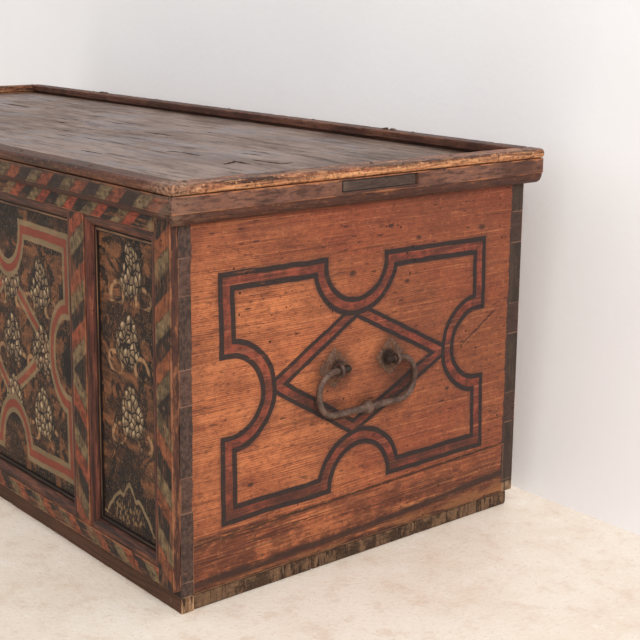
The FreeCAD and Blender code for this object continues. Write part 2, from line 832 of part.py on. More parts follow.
side_rim_width = rim_inner + lid_gap + side_fascia + nose_reach
rim_run = lid_back - nose_front
front_rim_space = front_mitre(nose_half, nose_front, side_rim_width)
side_rim = rim_section(V(nose_half, nose_front, 0), X_DIR.negative(), side_rim_width,
                       side_fascia, V(0, rim_run, 0)).cut(front_rim_space)
side_rim = bored(side_rim, lid_nails)
front_rim = rim_section(V(-nose_half, nose_front, 0), Y_DIR, side_rim_width, front_fascia,
                        V(2 * nose_half, 0, 0)).common(front_rim_space)
write("lid_rim_right", [side_rim])
write("lid_rim_left", [mirrored(side_rim)])
write("lid_rim_front", [bored(front_rim, lid_nails + [side_strip, mirrored(side_strip)])])

rail_half_length = nose_half - side_rim_width
rail_front = lid_back - back_rail_width
ledge = plank_top + undercut_height
rail_foot_half = rail_half_length + undercut_depth
back_rail = fuse([block(-rail_half_length, rail_half_length, rail_front, lid_back,
                        ledge, rim_top),
                  block(-rail_foot_half, rail_foot_half, rail_front + undercut_depth,
                        lid_back, plank_top, ledge)])
write("lid_rail_back", [bored(back_rail, lid_pins)])
write("lid_nails", lid_nails + catch_nails)

# Battens under the planks
batten_front = front + front_board + batten_clearance
batten_back = back - back_board - batten_clearance
for side, name in ((-1, "left"), (1, "right")):
    x = side * (half - batten_from_end) - batten_width / 2
    write("lid_batten_" + name, [block(x, x + batten_width, batten_front, batten_back,
                                       top - batten_thickness, top)])
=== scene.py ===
import math

import bpy
import numpy as np
from mathutils import Matrix, Vector


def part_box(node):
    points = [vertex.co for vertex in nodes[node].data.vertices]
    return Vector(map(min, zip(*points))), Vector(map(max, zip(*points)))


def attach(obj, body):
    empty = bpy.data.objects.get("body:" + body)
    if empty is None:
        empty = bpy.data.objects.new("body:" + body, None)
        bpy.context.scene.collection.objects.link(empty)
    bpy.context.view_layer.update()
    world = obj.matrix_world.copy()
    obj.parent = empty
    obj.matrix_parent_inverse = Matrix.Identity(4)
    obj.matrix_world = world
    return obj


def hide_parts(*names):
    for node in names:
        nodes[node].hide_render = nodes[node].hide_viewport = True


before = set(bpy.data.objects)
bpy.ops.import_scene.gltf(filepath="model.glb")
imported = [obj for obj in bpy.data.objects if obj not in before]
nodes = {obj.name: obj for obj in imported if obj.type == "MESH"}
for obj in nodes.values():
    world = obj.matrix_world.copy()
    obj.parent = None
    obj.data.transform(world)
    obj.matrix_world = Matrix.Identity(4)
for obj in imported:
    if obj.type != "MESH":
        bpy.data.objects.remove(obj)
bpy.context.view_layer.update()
scene = bpy.context.scene

# Bottom boards
# Three rough softwood boards laid lengthwise and nailed up under the walls.
# They are sawn, never planed or painted, and their ends are split and chewed.

MM = 0.001
IN_MM = 1000.0
SIDES = ((1, "right"), (-1, "left"))


def tone(red, green, blue):
    """A colour as it is seen (0 to 255), turned into Blender's linear light."""
    seen = np.array((red, green, blue)) / 255.0
    light = np.where(seen <= 0.04045, seen / 12.92, ((seen + 0.055) / 1.055) ** 2.4)
    return (*light.tolist(), 1.0)


class Value:
    """An output of a node. A sum with it lays a node for each step."""

    def __init__(self, brush, socket):
        self.brush = brush
        self.socket = socket

    def __abs__(self):
        return self.brush.calc("ABSOLUTE", self)


for mark, operation in (("add", "ADD"), ("sub", "SUBTRACT"), ("mul", "MULTIPLY"),
                        ("truediv", "DIVIDE"), ("mod", "MODULO"), ("pow", "POWER")):
    setattr(Value, f"__{mark}__", lambda a, b, kind=operation: a.brush.calc(kind, a, b))
    setattr(Value, f"__r{mark}__", lambda a, b, kind=operation: a.brush.calc(kind, b, a))


class Brush:
    """Lays nodes in one tree. What goes into a node may be a number, a vector, another node's
    value or, for a colour, its three parts as they are seen."""

    def __init__(self, tree):
        self.tree = tree

    def fill(self, node, values):
        for key, value in dict(values).items():
            socket = node.inputs[key]
            if isinstance(value, Value):
                self.tree.links.new(value.socket, socket)
            else:
                socket.default_value = tone(*value) if socket.type == "RGBA" else value
        return node.outputs

    def named(self, outputs):
        return {socket.name: Value(self, socket) for socket in outputs}

    def put(self, kind, values=(), out=0, **settings):
        node = self.tree.nodes.new("ShaderNode" + kind)
        for name, setting in settings.items():
            setattr(node, name, setting)
        return Value(self, self.fill(node, values)[out])

    def use(self, group, values=()):
        """Places a group and gives back its values by name."""
        node = self.tree.nodes.new("ShaderNodeGroup")
        node.node_tree = group
        return self.named(self.fill(node, values))

    def calc(self, operation, *values, clamp=False):
        return self.put("Math", enumerate(values), operation=operation, use_clamp=clamp)

    def most(self, value, *others):
        for other in others:
            value = self.calc("MAXIMUM", value, other)
        return value

    def least(self, a, b):
        return self.calc("MINIMUM", a, b)

    def vector(self, operation, *values, out=0):
        return self.put("VectorMath", enumerate(values), out=out, operation=operation)

    def length(self, way):
        return self.vector("LENGTH", way, out=1)

    def distance(self, a, b):
        return self.length(self.vector("SUBTRACT", a, b))

    def scale(self, place, amount):
        return self.put("VectorMath", {0: place, "Scale": amount}, operation="SCALE")

    def split(self, place):
        parts = self.put("SeparateXYZ", {0: place}).socket.node.outputs
        return tuple(Value(self, part) for part in parts)

    def join(self, x, y, z):
        return self.put("CombineXYZ", {0: x, 1: y, 2: z})

    def place(self):
        """The piece's own place, which stays with it when it moves."""
        return self.put("TexCoord", out=3)

    def noise(self, place, scale, detail=2.0, rough=0.5, twist=0.0, out=0):
        return self.put("TexNoise", {"Vector": place, "Scale": scale, "Detail": detail,
                                     "Roughness": rough, "Distortion": twist}, out=out)

    def grain(self, place, stretch, detail=2.0, rough=0.5, twist=0.0):
        """Noise with a scale of its own along each axis."""
        return self.noise(self.vector("MULTIPLY", place, stretch), 1.0, detail, rough, twist)

    def shaken(self, place, scale, reach, detail=2.0):
        """The place moved along X and Y by coloured noise, as a hand shakes."""
        wave = self.vector("SUBTRACT", self.noise(place, scale, detail, out=1), (0.5, 0.5, 0.5))
        return self.vector("ADD", place, self.vector("MULTIPLY", wave, (reach, reach, 0.0)))

    def cells(self, place, scale, feature="F1", loose=1.0):
        return self.put("TexVoronoi", {"Vector": place, "Scale": scale, "Randomness": loose},
                        feature=feature)

    def rise(self, value, low, high):
        """0 below low, 1 above high, with an eased step between them."""
        return self.put("MapRange", {"Value": value, "From Min": low, "From Max": high},
                        interpolation_type="SMOOTHSTEP")

    def fall(self, value, low, high):
        return 1 - self.rise(value, low, high)

    def between(self, value, up, down):
        """0, then 1 after the step called up, then 0 again after the step called down."""
        return self.rise(value, *up) * self.fall(value, *down)

    def mix(self, mask, a, b):
        """Colour a where the mask is 0 and colour b where it is 1."""
        return self.put("Mix", {0: mask, 6: a, 7: b}, out=2, data_type="RGBA")

    def coats(self, colour, *rows):
        """Lays coats over a colour, one by one. A row is a mask and a paint; or a mask, a share
        and a paint; or a value, where it starts to show the paint, where it shows it in full
        (above or below the start), a share and a paint."""
        for mask, *more, paint in rows:
            if len(more) == 3:
                bare, full, share = more
                mask = self.rise(mask, bare, full) if bare < full else self.fall(mask, full, bare)
                more = [share]
            colour = self.mix(mask * more[0] if more else mask, colour, paint)
        return colour


SOCKETS = {"v": "NodeSocketVector", "f": "NodeSocketFloat", "c": "NodeSocketColor"}


def start_group(name, takes, gives):
    """New node group. takes and gives are pairs of a socket's name and its kind, v, f or c."""
    tree = bpy.data.node_groups.new(name, "ShaderNodeTree")
    for label, kind in takes:
        tree.interface.new_socket(name=label, in_out="INPUT", socket_type=SOCKETS[kind])
    for label, kind in gives:
        tree.interface.new_socket(name=label, in_out="OUTPUT", socket_type=SOCKETS[kind])
    brush = Brush(tree)
    source = brush.named(tree.nodes.new("NodeGroupInput").outputs)
    return tree, brush, source, tree.nodes.new("NodeGroupOutput")


def start_finish(name):
    """New material: its brush, its Principled shader, and the place of a point on the piece."""
    material = bpy.data.materials.new(name)
    material.use_nodes = True
    shader = material.node_tree.nodes["Principled BSDF"]
    shader.inputs["Specular IOR Level"].default_value = 0.22
    brush = Brush(material.node_tree)
    return material, brush, shader, brush.place()


def lay(brush, shader, colour, roughness, relief, depth):
    """Joins colour, roughness and a relief of so many metres to the shader."""
    normal = brush.put("Bump", {"Height": relief, "Distance": depth})
    brush.fill(shader, {"Base Color": colour, "Roughness": roughness, "Normal": normal})


# Softwood: rings round a pith that lies behind the face, cut by the board, with
# long fibres and a few dark pores. The grain runs along X of the place given.
softwood, b, ins, outs = start_group(
    "softwood", (("Place", "v"), ("Ring", "f"), ("Early", "c"), ("Late", "c"), ("Dark", "c")),
    (("Colour", "c"), ("Relief", "f"), ("Fibre", "f")))
x, y, z = b.split(ins["Place"])
lazy = b.grain(ins["Place"], (2.4, 9.0, 9.0), 3.0)
drift = (lazy - 0.5) * 0.022
across = b.length(b.join(0.0, y * 0.15 + drift, z + 0.11 + drift))
ring = b.calc("SINE", across / ins["Ring"] * (2 * math.pi))
ring = (ring * 0.5 + 0.5) ** 3.0
faded = b.grain(ins["Place"], (5.0, 45.0, 45.0), 2.0)
ring = ring * b.rise(faded, 0.3, 0.6)
fibre = b.grain(ins["Place"], (12.0, 430.0, 430.0), 4.0, 0.65)
hair = b.grain(ins["Place"], (40.0, 1300.0, 1300.0), 2.0)
cloud = b.grain(ins["Place"], (5.0, 22.0, 22.0), 3.0)
dashes = b.grain(ins["Place"], (85.0, 420.0, 420.0), 3.0, 0.65)
body = b.mix(b.rise(ring * 0.44 + fibre * 0.8, 0.26, 0.9), ins["Early"], ins["Late"])
pores = b.rise(hair, 0.56, 0.74) * b.rise(fibre, 0.46, 0.7)
relief = fibre * 0.6 + hair * 0.3 - ring * 0.25
body = b.coats(body,
    (pores, 0.6, ins["Dark"]),
    (dashes, 0.57, 0.7, 0.55, ins["Dark"]),
    (cloud, 0.48, 0.75, 0.38, ins["Dark"]))
b.fill(outs, dict(Colour=body, Relief=relief, Fibre=fibre))

# Arrises: how far a point lies from the nearest edge of a board with these two
# corners, broken by noise, so that wear and dirt gather along the edges.
arrises, b, ins, outs = start_group(
    "arrises", (("Place", "v"), ("Low", "v"), ("High", "v"), ("Width", "f")),
    (("Wear", "f"),))
near = b.vector("MINIMUM", b.vector("SUBTRACT", ins["Place"], ins["Low"]),
                b.vector("SUBTRACT", ins["High"], ins["Place"]))
x, y, z = b.split(near)
edge = b.most(b.least(x, y), b.least(b.most(x, y), z))
coarse = b.noise(ins["Place"], 38.0, 3.0, 0.65)
ragged = edge - ins["Width"] * (coarse * 3.2 - 1.35)
b.fill(outs, dict(Wear=b.fall(ragged, -0.0004, 0.0011)))

# Age: patches of soot and handling dirt, small dents, and worm holes.
age, b, ins, outs = start_group(
    "age", (("Place", "v"), ("Worm", "f")),
    (("Soot", "f"), ("Dents", "f"), ("Holes", "f")))
big = b.noise(ins["Place"], 5.5, 4.0, 0.62, 0.4)
small = b.noise(ins["Place"], 46.0, 4.0, 0.7)
spots = b.cells(ins["Place"], 75.0)
where = b.rise(b.noise(ins["Place"], 9.0, 2.0), 0.50, 0.64)
holes = b.fall(spots, 0.085, 0.13) * (where * ins["Worm"])
crumbs = b.noise(ins["Place"], 210.0, 4.0, 0.75)
soot = b.rise(big, 0.42, 0.7) * 0.5 + b.rise(small, 0.52, 0.72) * 0.35
soot = b.least(soot + b.rise(crumbs, 0.56, 0.7) * 0.55, 1.0)
b.fill(outs, dict(Soot=soot, Dents=b.rise(b.noise(ins["Place"], 120.0, 3.0, 0.6), 0.6, 0.78),
                  Holes=holes))


def grown(brush, axis, shift, ring, early, late, dark):
    """Softwood for a board along one axis, cut from a fresh bit of tree."""
    return brush.use(softwood, {"Place": turned(brush, axis, shift), "Ring": ring, "Early": early,
                                "Late": late, "Dark": dark})


def worn_at(brush, place, low, high, width):
    return brush.use(arrises, {"Place": place, "Low": low, "High": high, "Width": width})


def aged(brush, place, worm):
    return brush.use(age, {"Place": place, "Worm": worm})


def turned(brush, axis, shift):
    """The object's own place with the board's length along X, and moved to a fresh bit of tree."""
    x, y, z = brush.split(brush.place())
    order = {"x": (x, y, z), "y": (y, x, z), "z": (z, x, y)}[axis]
    return brush.vector("ADD", brush.join(*order), (shift, 0.37 * shift, 0.013 * shift))


def bare_wood(name, axis, shift, early, late, dark, edge, low, high,
              ring=0.006, wear=0.0022, soot_share=0.6, rough=(0.62, 0.85), depth=0.0012):
    """Unpainted old softwood for one board between two corners."""
    material, b, shader, place = start_finish(name)
    wood = grown(b, axis, shift, ring, early, late, dark)
    worn = worn_at(b, place, low, high, wear)
    old = aged(b, b.vector("ADD", place, (shift, 0.0, 0.0)), 1.0)
    # end grain, within a millimetre of the two ends: rough, with upright splits
    u = "xyz".index(axis)
    along = b.split(place)[u]
    to_end = b.least(along - low[u], high[u] - along)
    at_end = b.fall(to_end, 0.0004, 0.0014)
    upright = 1 if axis == "z" else 2
    squeeze = [95.0] * 3
    squeeze[upright] = 26.0
    split = b.grain(place, squeeze, 5.0, 0.72)
    squeeze[upright] = 9.0
    cleft = b.grain(place, [0.5 * s for s in squeeze], 4.0, 0.6)
    lumps = b.noise(place, 30.0, 4.0, 0.7)
    sawn = b.coats(edge,
        (split, 0.4, 0.56, 0.8, early),
        (split, 0.56, 0.62, 0.8, dark),
        (abs(cleft - 0.49), 0.018, 0.006, 0.95, (28, 20, 17)),
        (lumps, 0.46, 0.6, 0.8, dark))
    roughness = wood["Fibre"] * (rough[1] - rough[0]) + rough[0]
    relief = wood["Relief"] - worn["Wear"] * 0.3 - (old["Dents"] * 0.5 + old["Holes"] * 2.5)
    relief = relief - at_end * (split * 2.0)
    colour = b.coats(wood["Colour"],
        (old["Soot"], soot_share, dark),
        (at_end, 0.85, sawn),
        (worn["Wear"], 0.75, edge),
        (old["Holes"], (22, 15, 12)))
    lay(b, shader, colour, roughness, relief, depth)
    return material


def wander(run, pitch, seed):
    """Smooth random line from -1 to 1: a random height every `pitch` metres, eased by a cosine."""
    heights = np.random.default_rng(seed).uniform(-1, 1, int(np.ptp(run) / pitch) + 3)
    at = (run - run.min()) / pitch
    step = np.floor(at).astype(int)
    ease = (1 - np.cos(np.pi * (at - step))) / 2
    return heights[step] * (1 - ease) + heights[step + 1] * ease


def arris_radii(run, base, seed):
    """Rounding of each arris along the run: its own size, times a slow and a quick random line,
    with a few deep chips where the quick line peaks."""
    rows = []
    for corner, size in enumerate(base):
        slow = 1.0 + 0.45 * wander(run, 0.09, seed + 11 * corner)
        quick = wander(run, 0.014, seed + 11 * corner + 5)
        chip = np.clip(quick - 0.72, 0, 1) * 7.0
        rows.append(size * (slow + 0.25 * quick + chip))
    return np.clip(np.array(rows).T, 0.0002, None)


ARC = 4


def round_over(corners, radii):
    """Outline with each corner cut back by its radius and joined by a quadratic curve
    (1-t)^2 A + 2t(1-t) C + t^2 B, where A and B lie one radius from the corner C along its sides,
    and with one holding point outside each end of the curve."""
    before, after = np.roll(corners, 1, axis=1) - corners, np.roll(corners, -1, axis=1) - corners
    long_b, long_a = (np.linalg.norm(v, axis=2, keepdims=True) for v in (before, after))
    r = np.minimum(radii[..., None], 0.36 * np.minimum(long_b, long_a))
    hold = np.minimum(r + 0.0012, 0.48 * np.minimum(long_b, long_a))
    start, end = corners + before / long_b * r, corners + after / long_a * r
    rows = [corners + before / long_b * hold]
    for t in np.linspace(0, 1, ARC):
        rows.append((1 - t) ** 2 * start + 2 * t * (1 - t) * corners + t * t * end)
    rows.append(corners + after / long_a * hold)
    return np.stack(rows, axis=2).reshape(corners.shape[0], -1, 2)


def tube(name, rings, material):
    """Mesh from rings of points, an array of rows by points by 3: quads between
    neighbouring rings, and a flat face over each end."""
    rows, around = rings.shape[:2]
    i, j = np.meshgrid(np.arange(rows - 1), np.arange(around), indexing="ij")
    k = (j + 1) % around
    quads = np.stack([i * around + j, i * around + k, (i + 1) * around + k, (i + 1) * around + j],
                     axis=-1).reshape(-1, 4)
    faces = quads.tolist()
    faces += [list(range(around))[::-1], list(range((rows - 1) * around, rows * around))]
    mesh = bpy.data.meshes.new(name)
    mesh.from_pydata(rings.reshape(-1, 3).tolist(), [], faces)
    mesh.validate()
    mesh.polygons.foreach_set("use_smooth", [True] * (len(faces) - 2) + [False] * 2)
    piece = bpy.data.objects.new(name, mesh)
    scene.collection.objects.link(piece)
    mesh.materials.append(material)
    face_outwards(mesh)
    return piece


def face_outwards(mesh):
    """Turns all faces round where the signed volume of the closed mesh is negative."""
    mesh.calc_loop_triangles()
    points = np.empty(len(mesh.vertices) * 3)
    mesh.vertices.foreach_get("co", points)
    corners = np.empty(len(mesh.loop_triangles) * 3, int)
    mesh.loop_triangles.foreach_get("vertices", corners)
    a, b, c = points.reshape(-1, 3)[corners.reshape(-1, 3)].transpose(1, 0, 2)
    if np.einsum("ij,ij->i", a, np.cross(b, c)).sum() < 0:
        mesh.flip_normals()


def stick(name, axis, corners, start, end, radii, seed, material, step=0.006, bend=None,
          changes=(), plan=None, end_round=0.0012):
    """Worn strip or board: an outline of corners carried along one axis.
    start and end may depend on an outline point, as a mitre does. corners are in the other two
    axes' order. bend moves the corners along the run, and plan moves the finished points."""
    corners = np.array(corners, float)
    span = abs(float(np.mean(end(corners) if callable(end) else end))
               - float(np.mean(start(corners) if callable(start) else start)))
    share = np.linspace(0, 1, max(8, int(span / step)))
    trim = end_round / span
    share = np.unique(np.concatenate([share, [0, trim, 1 - trim, 1], np.array(changes, float)]))
    run = share * span
    moving = np.broadcast_to(corners, (len(share),) + corners.shape).copy()
    if bend is not None:
        moving = bend(moving, share)
    outline = round_over(moving, arris_radii(run, radii, seed))
    centre = outline.mean(axis=1, keepdims=True)
    pull = np.clip(outline - centre, -end_round, end_round)
    at_end = ((share < trim / 2) | (share > 1 - trim / 2))[:, None, None]
    outline = outline - at_end * pull
    first = start(outline) if callable(start) else np.full(outline.shape[:2], start)
    last = end(outline) if callable(end) else np.full(outline.shape[:2], end)
    along = first + (last - first) * share[:, None]
    order = {"x": (along, outline[..., 0], outline[..., 1]),
             "y": (outline[..., 0], along, outline[..., 1]),
             "z": (outline[..., 0], outline[..., 1], along)}[axis]
    rings = np.stack(order, axis=-1)
    if plan is not None:
        rings = plan(rings)
    return tube(name, rings, material)


def box_outline(low, high, axis):
    """The four corners of a board's section, seen along its length."""
    u, v = {"x": (1, 2), "y": (0, 2), "z": (0, 1)}[axis]
    return [(low[u], low[v]), (high[u], low[v]), (high[u], high[v]), (low[u], high[v])]


def mount(piece, body, node):
    """A new piece rides on a body and takes the place of a node."""
    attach(piece, body)
    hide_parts(node)


def board(name, node, axis, radius, seed, material, body, slot, **extra):
    """Worn board that takes the whole place of one node."""
    low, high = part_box(node)
    u = "xyz".index(axis)
    piece = stick(name, axis, box_outline(low, high, axis), low[u], high[u], [radius] * 4,
                  seed, material, **extra)
    mount(piece, body, node)


for count, place in enumerate(("front", "middle", "back")):
    node = "bottom_board_" + place
    low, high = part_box(node)
    wood = bare_wood(node, "x", 1.3 + 0.7 * count, (112, 84, 64), (82, 60, 46), (46, 33, 27),
                     (138, 105, 78), low, high, ring=0.005, wear=0.0035,
                     rough=(0.75, 0.95), depth=0.003)
    board("floor_board_" + place, node, "x", 0.0028, 400 + 40 * count, wood, "carcase",
          "bottom_wood", end_round=0.003)

# Front strip
# A narrow brown strip under the front wall that hides the edge of the bottom.
# It is planed and stained, nailed from the front, with bare end grain.

node = "plinth_strip"
low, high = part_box(node)
strip_wood = bare_wood(node, "x", 4.1, (94, 60, 42), (66, 42, 30), (36, 24, 19), (186, 148, 112), low,
                       high, wear=0.001, rough=(0.5, 0.7), depth=0.0008)
board("front_strip", node, "x", 0.0018, 531, strip_wood, "carcase", "plinth_wood")

# End walls
# Two wide softwood boards, edge to edge, under a thin orange varnish, with pins
# sawn on their ends. A strapwork frame and a lozenge are painted on the outside.

front_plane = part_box("front_board_upper")[0].y
# distance from the chest's middle over which bare wood gives way to the painted end
END_FACE = (0.7492, 0.7498)


def dress(node, material):
    """Gives a node that keeps its shape a new finish."""
    mesh = nodes[node].data
    mesh.materials.clear()
    mesh.materials.append(material)


# Scratch: a thin wavering mark between two points, tapering towards both of them.
scratch_line, b, ins, outs = start_group(
    "scratch_line", (("Place", "v"), ("From", "v"), ("To", "v"), ("Width", "f")), (("Mark", "f"),))
offset = b.vector("SUBTRACT", b.shaken(ins["Place"], 90.0, 0.007), ins["From"])
length = b.vector("SUBTRACT", ins["To"], ins["From"])
share = b.calc("DIVIDE", b.vector("DOT_PRODUCT", offset, length, out=1),
               b.vector("DOT_PRODUCT", length, length, out=1), clamp=True)
gap = b.distance(offset, b.scale(length, share))
taper = b.calc("SQRT", 4.0 * (share * (1 - share)))
gap = gap - ins["Width"] * taper
b.fill(outs, dict(Mark=b.fall(gap, -0.0002, 0.0007)))


def scratches(b, place, marks):
    """The marks of scratches, each from one point to another in the first two axes."""
    found = []
    for first, second, width in marks:
        line = {"Place": place, "From": (*first, 0), "To": (*second, 0), "Width": width}
        found.append(b.use(scratch_line, line)["Mark"])
    return found


# Dovetail joints seen from outside: thin pale lines at the sides of each pin.
joint_lines, b, ins, outs = start_group("joint_lines", (("Up", "f"),), (("Line", "f"),))
pin_pitch, pin_first, pin_half = 0.13677, 0.1544, 0.023
turn = (ins["Up"] + (pin_pitch / 2 - pin_first + 2 * pin_pitch)) % pin_pitch
from_pin = abs(turn - pin_pitch / 2)
b.fill(outs, dict(Line=b.fall(abs(from_pin - pin_half), 0.0003, 0.0012)))

# Painted strapwork: a frame whose four sides each dip in a half round, and a lozenge
# within it, in a red band between two black lines. Place is in millimetres from the
# wall's front lower corner, along the floor and up. A line's distance is a dot product,
# a half round's is its radius less the distance to a ray, and the shape is their maximum.
strapwork, b, ins, outs = start_group(
    "strapwork", (("Place", "v"),), (("Black", "f"), ("Red", "f"), ("Inside", "f"), ("Smudge", "f")))
hand = b.shaken(ins["Place"], 0.022, 5.0)
STRAP_FRAME = ((56.9, 427.0), (524.5, 422.1), (530.1, 105.8), (61.4, 100.2))
LOZENGE = ((167.5, 268.8), (281.7, 337.3), (417.1, 266.8), (278.4, 199.4))
FAR = 9000.0
STRAP_DIPS = (((280.0, 415.5), 49.2, "MINIMUM", (FAR, 0, 0)),
              ((72.9, 267.0), 49.6, "MAXIMUM", (0, -FAR, 0)),
              ((513.8, 267.0), 48.3, "MINIMUM", (0, FAR, 0)),
              ((290.0, 110.1), 49.1, "MAXIMUM", (-FAR, 0, 0)))


def outside_lines(b, place, corners):
    """Signed distances from the lines through neighbouring corners, positive on their left."""
    distances = []
    for first, second in zip(corners, corners[1:] + corners[:1]):
        along = np.subtract(second, first)
        left = np.array((-along[1], along[0], 0.0)) / np.hypot(*along)
        from_first = b.vector("SUBTRACT", place, (*first, 0.0))
        distances.append(b.vector("DOT_PRODUCT", from_first, tuple(left), out=1))
    return distances


def outside_dip(b, place, centre, radius, limit, bounds):
    """How deep a point lies in a half round that is open towards the frame's outside."""
    offset = b.vector(limit, b.vector("SUBTRACT", place, (*centre, 0.0)), bounds)
    return radius - b.length(offset)


dips = [outside_dip(b, hand, *dip) for dip in STRAP_DIPS]
depth_in = b.most(*outside_lines(b, hand, STRAP_FRAME), *dips) * -1.0
band = b.between(depth_in, (-0.4, 0.4), (24.6, 25.4))
red = b.between(depth_in, (6.8, 7.7), (17.3, 18.2))
black = band - red
inside = b.rise(depth_in, 24.6, 25.4)
out_of = b.most(*outside_lines(b, hand, LOZENGE))
band_2 = b.between(out_of, (-0.4, 0.4), (20.6, 21.4))
red_2 = b.between(out_of, (5.6, 6.4), (14.8, 15.6))
black_2 = band_2 - red_2
smudge = b.fall(abs(depth_in - 12.5), 12.0, 19.0)
smudge_2 = inside * b.fall(abs(out_of - 10.5), 10.0, 16.0)
b.fill(outs, dict(Black=black + inside * black_2, Red=red + inside * red_2, Inside=inside,
                  Smudge=b.most(smudge, smudge_2)))


def end_wall_finish(name, shift, low, high, side, dull):
    """Varnished and painted end board. side is 1 on the right and -1 on the left."""
    material, b, shader, place = start_finish(name)
    wood = grown(b, "y", shift, 0.0022, (205, 126, 80), (148, 80, 51), (86, 48, 36))
    worn = worn_at(b, place, low, high, 0.0012)
    old = aged(b, b.vector("ADD", place, (0.4 * shift, 0.0, 0.0)), 1.0)
    x, y, z = b.split(place)
    from_front = (y - front_plane) * IN_MM
    up = z * IN_MM
    flat = b.join(from_front, up, 0.0)
    paint = b.use(strapwork, {"Place": flat})
    rubbed = b.grain(place, (60.0, 14.0, 110.0), 5.0, 0.7)
    kept = b.fall(rubbed, 0.60, 0.74)
    kept_more = b.fall(rubbed, 0.66, 0.80)
    # painted shade under the lid and towards the rear; darker at the front edge, along the foot and in
    # patches
    blotch = b.grain(place, (6.0, 5.0, 9.0), 5.0, 0.62, 0.3)
    shade = b.rise(up + blotch * 150.0, 440.0, 590.0)
    shade_to_rear = b.rise(from_front + blotch * 240.0, 230.0, 620.0)
    forward = b.fall(from_front + blotch * 60.0, 45.0, 75.0)
    grime = b.grain(place, (20.0, 17.0, 24.0), 5.0, 0.7)
    reddened = b.grain(place, (3.0, 3.5, 6.0), 4.0, 0.6, 0.5)
    streak = b.grain(place, (50.0, 7.0, 520.0), 4.0, 0.68)
    foot = b.fall(up + rubbed * 60.0, 78.0, 128.0) * (0.74 if dull else 0.46)
    foot = foot * (0.35 + 0.65 * b.rise(grime, 0.38, 0.54))
    colour = b.coats(wood["Colour"],
        (shade, 0.74, (108, 54, 42)),
        (shade_to_rear, 0.72, (110, 58, 40)),
        (forward, 0.35, (110, 60, 44)),
        (blotch, 0.48, 0.66, 0.42, (124, 66, 46)),
        (grime, 0.46, 0.66, 0.5, (104, 54, 40)),
        (reddened, 0.42, 0.62, 0.3, (150, 70, 48)),
        (old["Soot"], 0.42, (104, 60, 46)),
        (foot, (94, 53, 38)))
    # the seam is chipped, most of all at its front end
    seam_line = up - (84.5 + from_front * 0.0265)
    chipped = 3.2 + b.fall(from_front + blotch * 200.0, 150.0, 330.0) * 9.0
    chips = b.grain(place, (60.0, 45.0, 160.0), 4.0, 0.75)
    chipped = b.fall(abs(seam_line), chipped * 0.4, chipped) * b.rise(chips, 0.36, 0.5)
    seam_dark = b.fall(abs(seam_line), 0.5, 1.3)
    torn = b.grain(place, (50.0, 8.0, 230.0), 4.0, 0.7)
    low_down = b.fall(up + grime * 50.0, 104.0, 134.0)
    bruised = b.fall(up, 74.0, 112.0) * b.rise(grime, 0.43, 0.54)
    gouged = b.fall(up, 60.0, 96.0) * b.rise(chips, 0.6, 0.66)
    colour = b.coats(colour,
        (chipped, 0.85, (52, 34, 28)),
        (seam_dark, 0.92, (34, 23, 20)),
        (low_down, b.rise(torn, 0.57, 0.62) * 0.75, (40, 26, 22)),
        (low_down, b.fall(torn, 0.36, 0.42) * 0.55, (206, 134, 84)),
        (bruised, 0.48, (80, 44, 33)),
        (gouged, 0.75, b.mix(b.rise(streak, 0.4, 0.55), (214, 140, 84), (48, 31, 26))),
        (streak, 0.53, 0.64, 0.55, (84, 46, 35)),
        (streak, 0.44, 0.32, 0.32, (222, 148, 100)))
    # handling has left short dark smears and, low down, bruises
    smear = b.grain(place, (40.0, 16.0, 55.0), 5.0, 0.75, 0.4)
    nicks = b.fall(b.cells(b.vector("MULTIPLY", place, (1.0, 30.0, 135.0)), 1.0), 0.10, 0.22)
    nicks = nicks * b.rise(b.noise(place, 13.0, 3.0, 0.6), 0.46, 0.62)
    specks = b.grain(place, (300.0, 110.0, 300.0), 3.0, 0.6)
    grit = b.grain(place, (150.0, 120.0, 190.0), 5.0, 0.75)
    colour = b.coats(colour,
        (smear, 0.56, 0.66, 0.55, (84, 47, 36)),
        (nicks, 0.85, (44, 28, 24)),
        (specks, 0.58, 0.68, 0.65, (70, 42, 34)),
        (grit, 0.52, 0.64, 0.42, (92, 50, 37)),
        (grit, 0.45, 0.34, 0.2, (222, 146, 100)),
        (paint["Smudge"], b.rise(blotch, 0.34, 0.6) * 0.48, (70, 45, 39)))
    # rust has stained the wood round the handle's plates; the spots below the bail are painted shadow of the
    # bail, mixed with grime
    for spot, size, share in (((243.0, 274.0), 44.0, 0.6), ((343.0, 274.0), 44.0, 0.6),
                              ((350.0, 222.0), 34.0, 0.5), ((366.0, 240.0), 24.0, 0.55),
                              ((300.0, 214.0), 26.0, 0.45), ((250.0, 218.0), 24.0, 0.35)):
        away = b.distance(flat, (*spot, 0.0))
        stain = b.fall(away + (smear - 0.5) * 40.0, size * 0.45, size)
        colour = b.coats(colour, (stain, share, (72, 44, 34)))
    # paint
    red_paint = b.mix(b.rise(b.noise(place, 70.0, 5.0, 0.7), 0.4, 0.66), (92, 45, 38), (142, 69, 54))
    red_paint = b.coats(red_paint,
        (smear, 0.48, 0.6, 0.7, (70, 43, 38)),
        (streak, 0.44, 0.36, 0.5, (176, 106, 80)))
    # it is nearly black behind the handle, on the lozenge's lower half, from grime and painted shadow of the
    # bail, and along the frame's foot
    soot_and_bail_shadow = b.between(from_front, (160.0, 190.0), (400.0, 430.0))
    soot_and_bail_shadow = soot_and_bail_shadow * b.between(up, (192.0, 206.0), (238.0, 268.0))
    soot_and_bail_shadow = b.most(soot_and_bail_shadow * 0.8, b.fall(up, 122.0, 140.0) * 0.55)
    red_paint = b.coats(red_paint, (soot_and_bail_shadow, 0.55 + 0.45 * b.rise(smear, 0.4, 0.54), (46, 34, 32)))
    black_paint = b.mix(specks, (29, 26, 27), (52, 44, 43))
    colour = b.coats(colour,
        (paint["Red"], kept_more * 0.84, red_paint),
        (paint["Black"], kept * 0.95, black_paint))
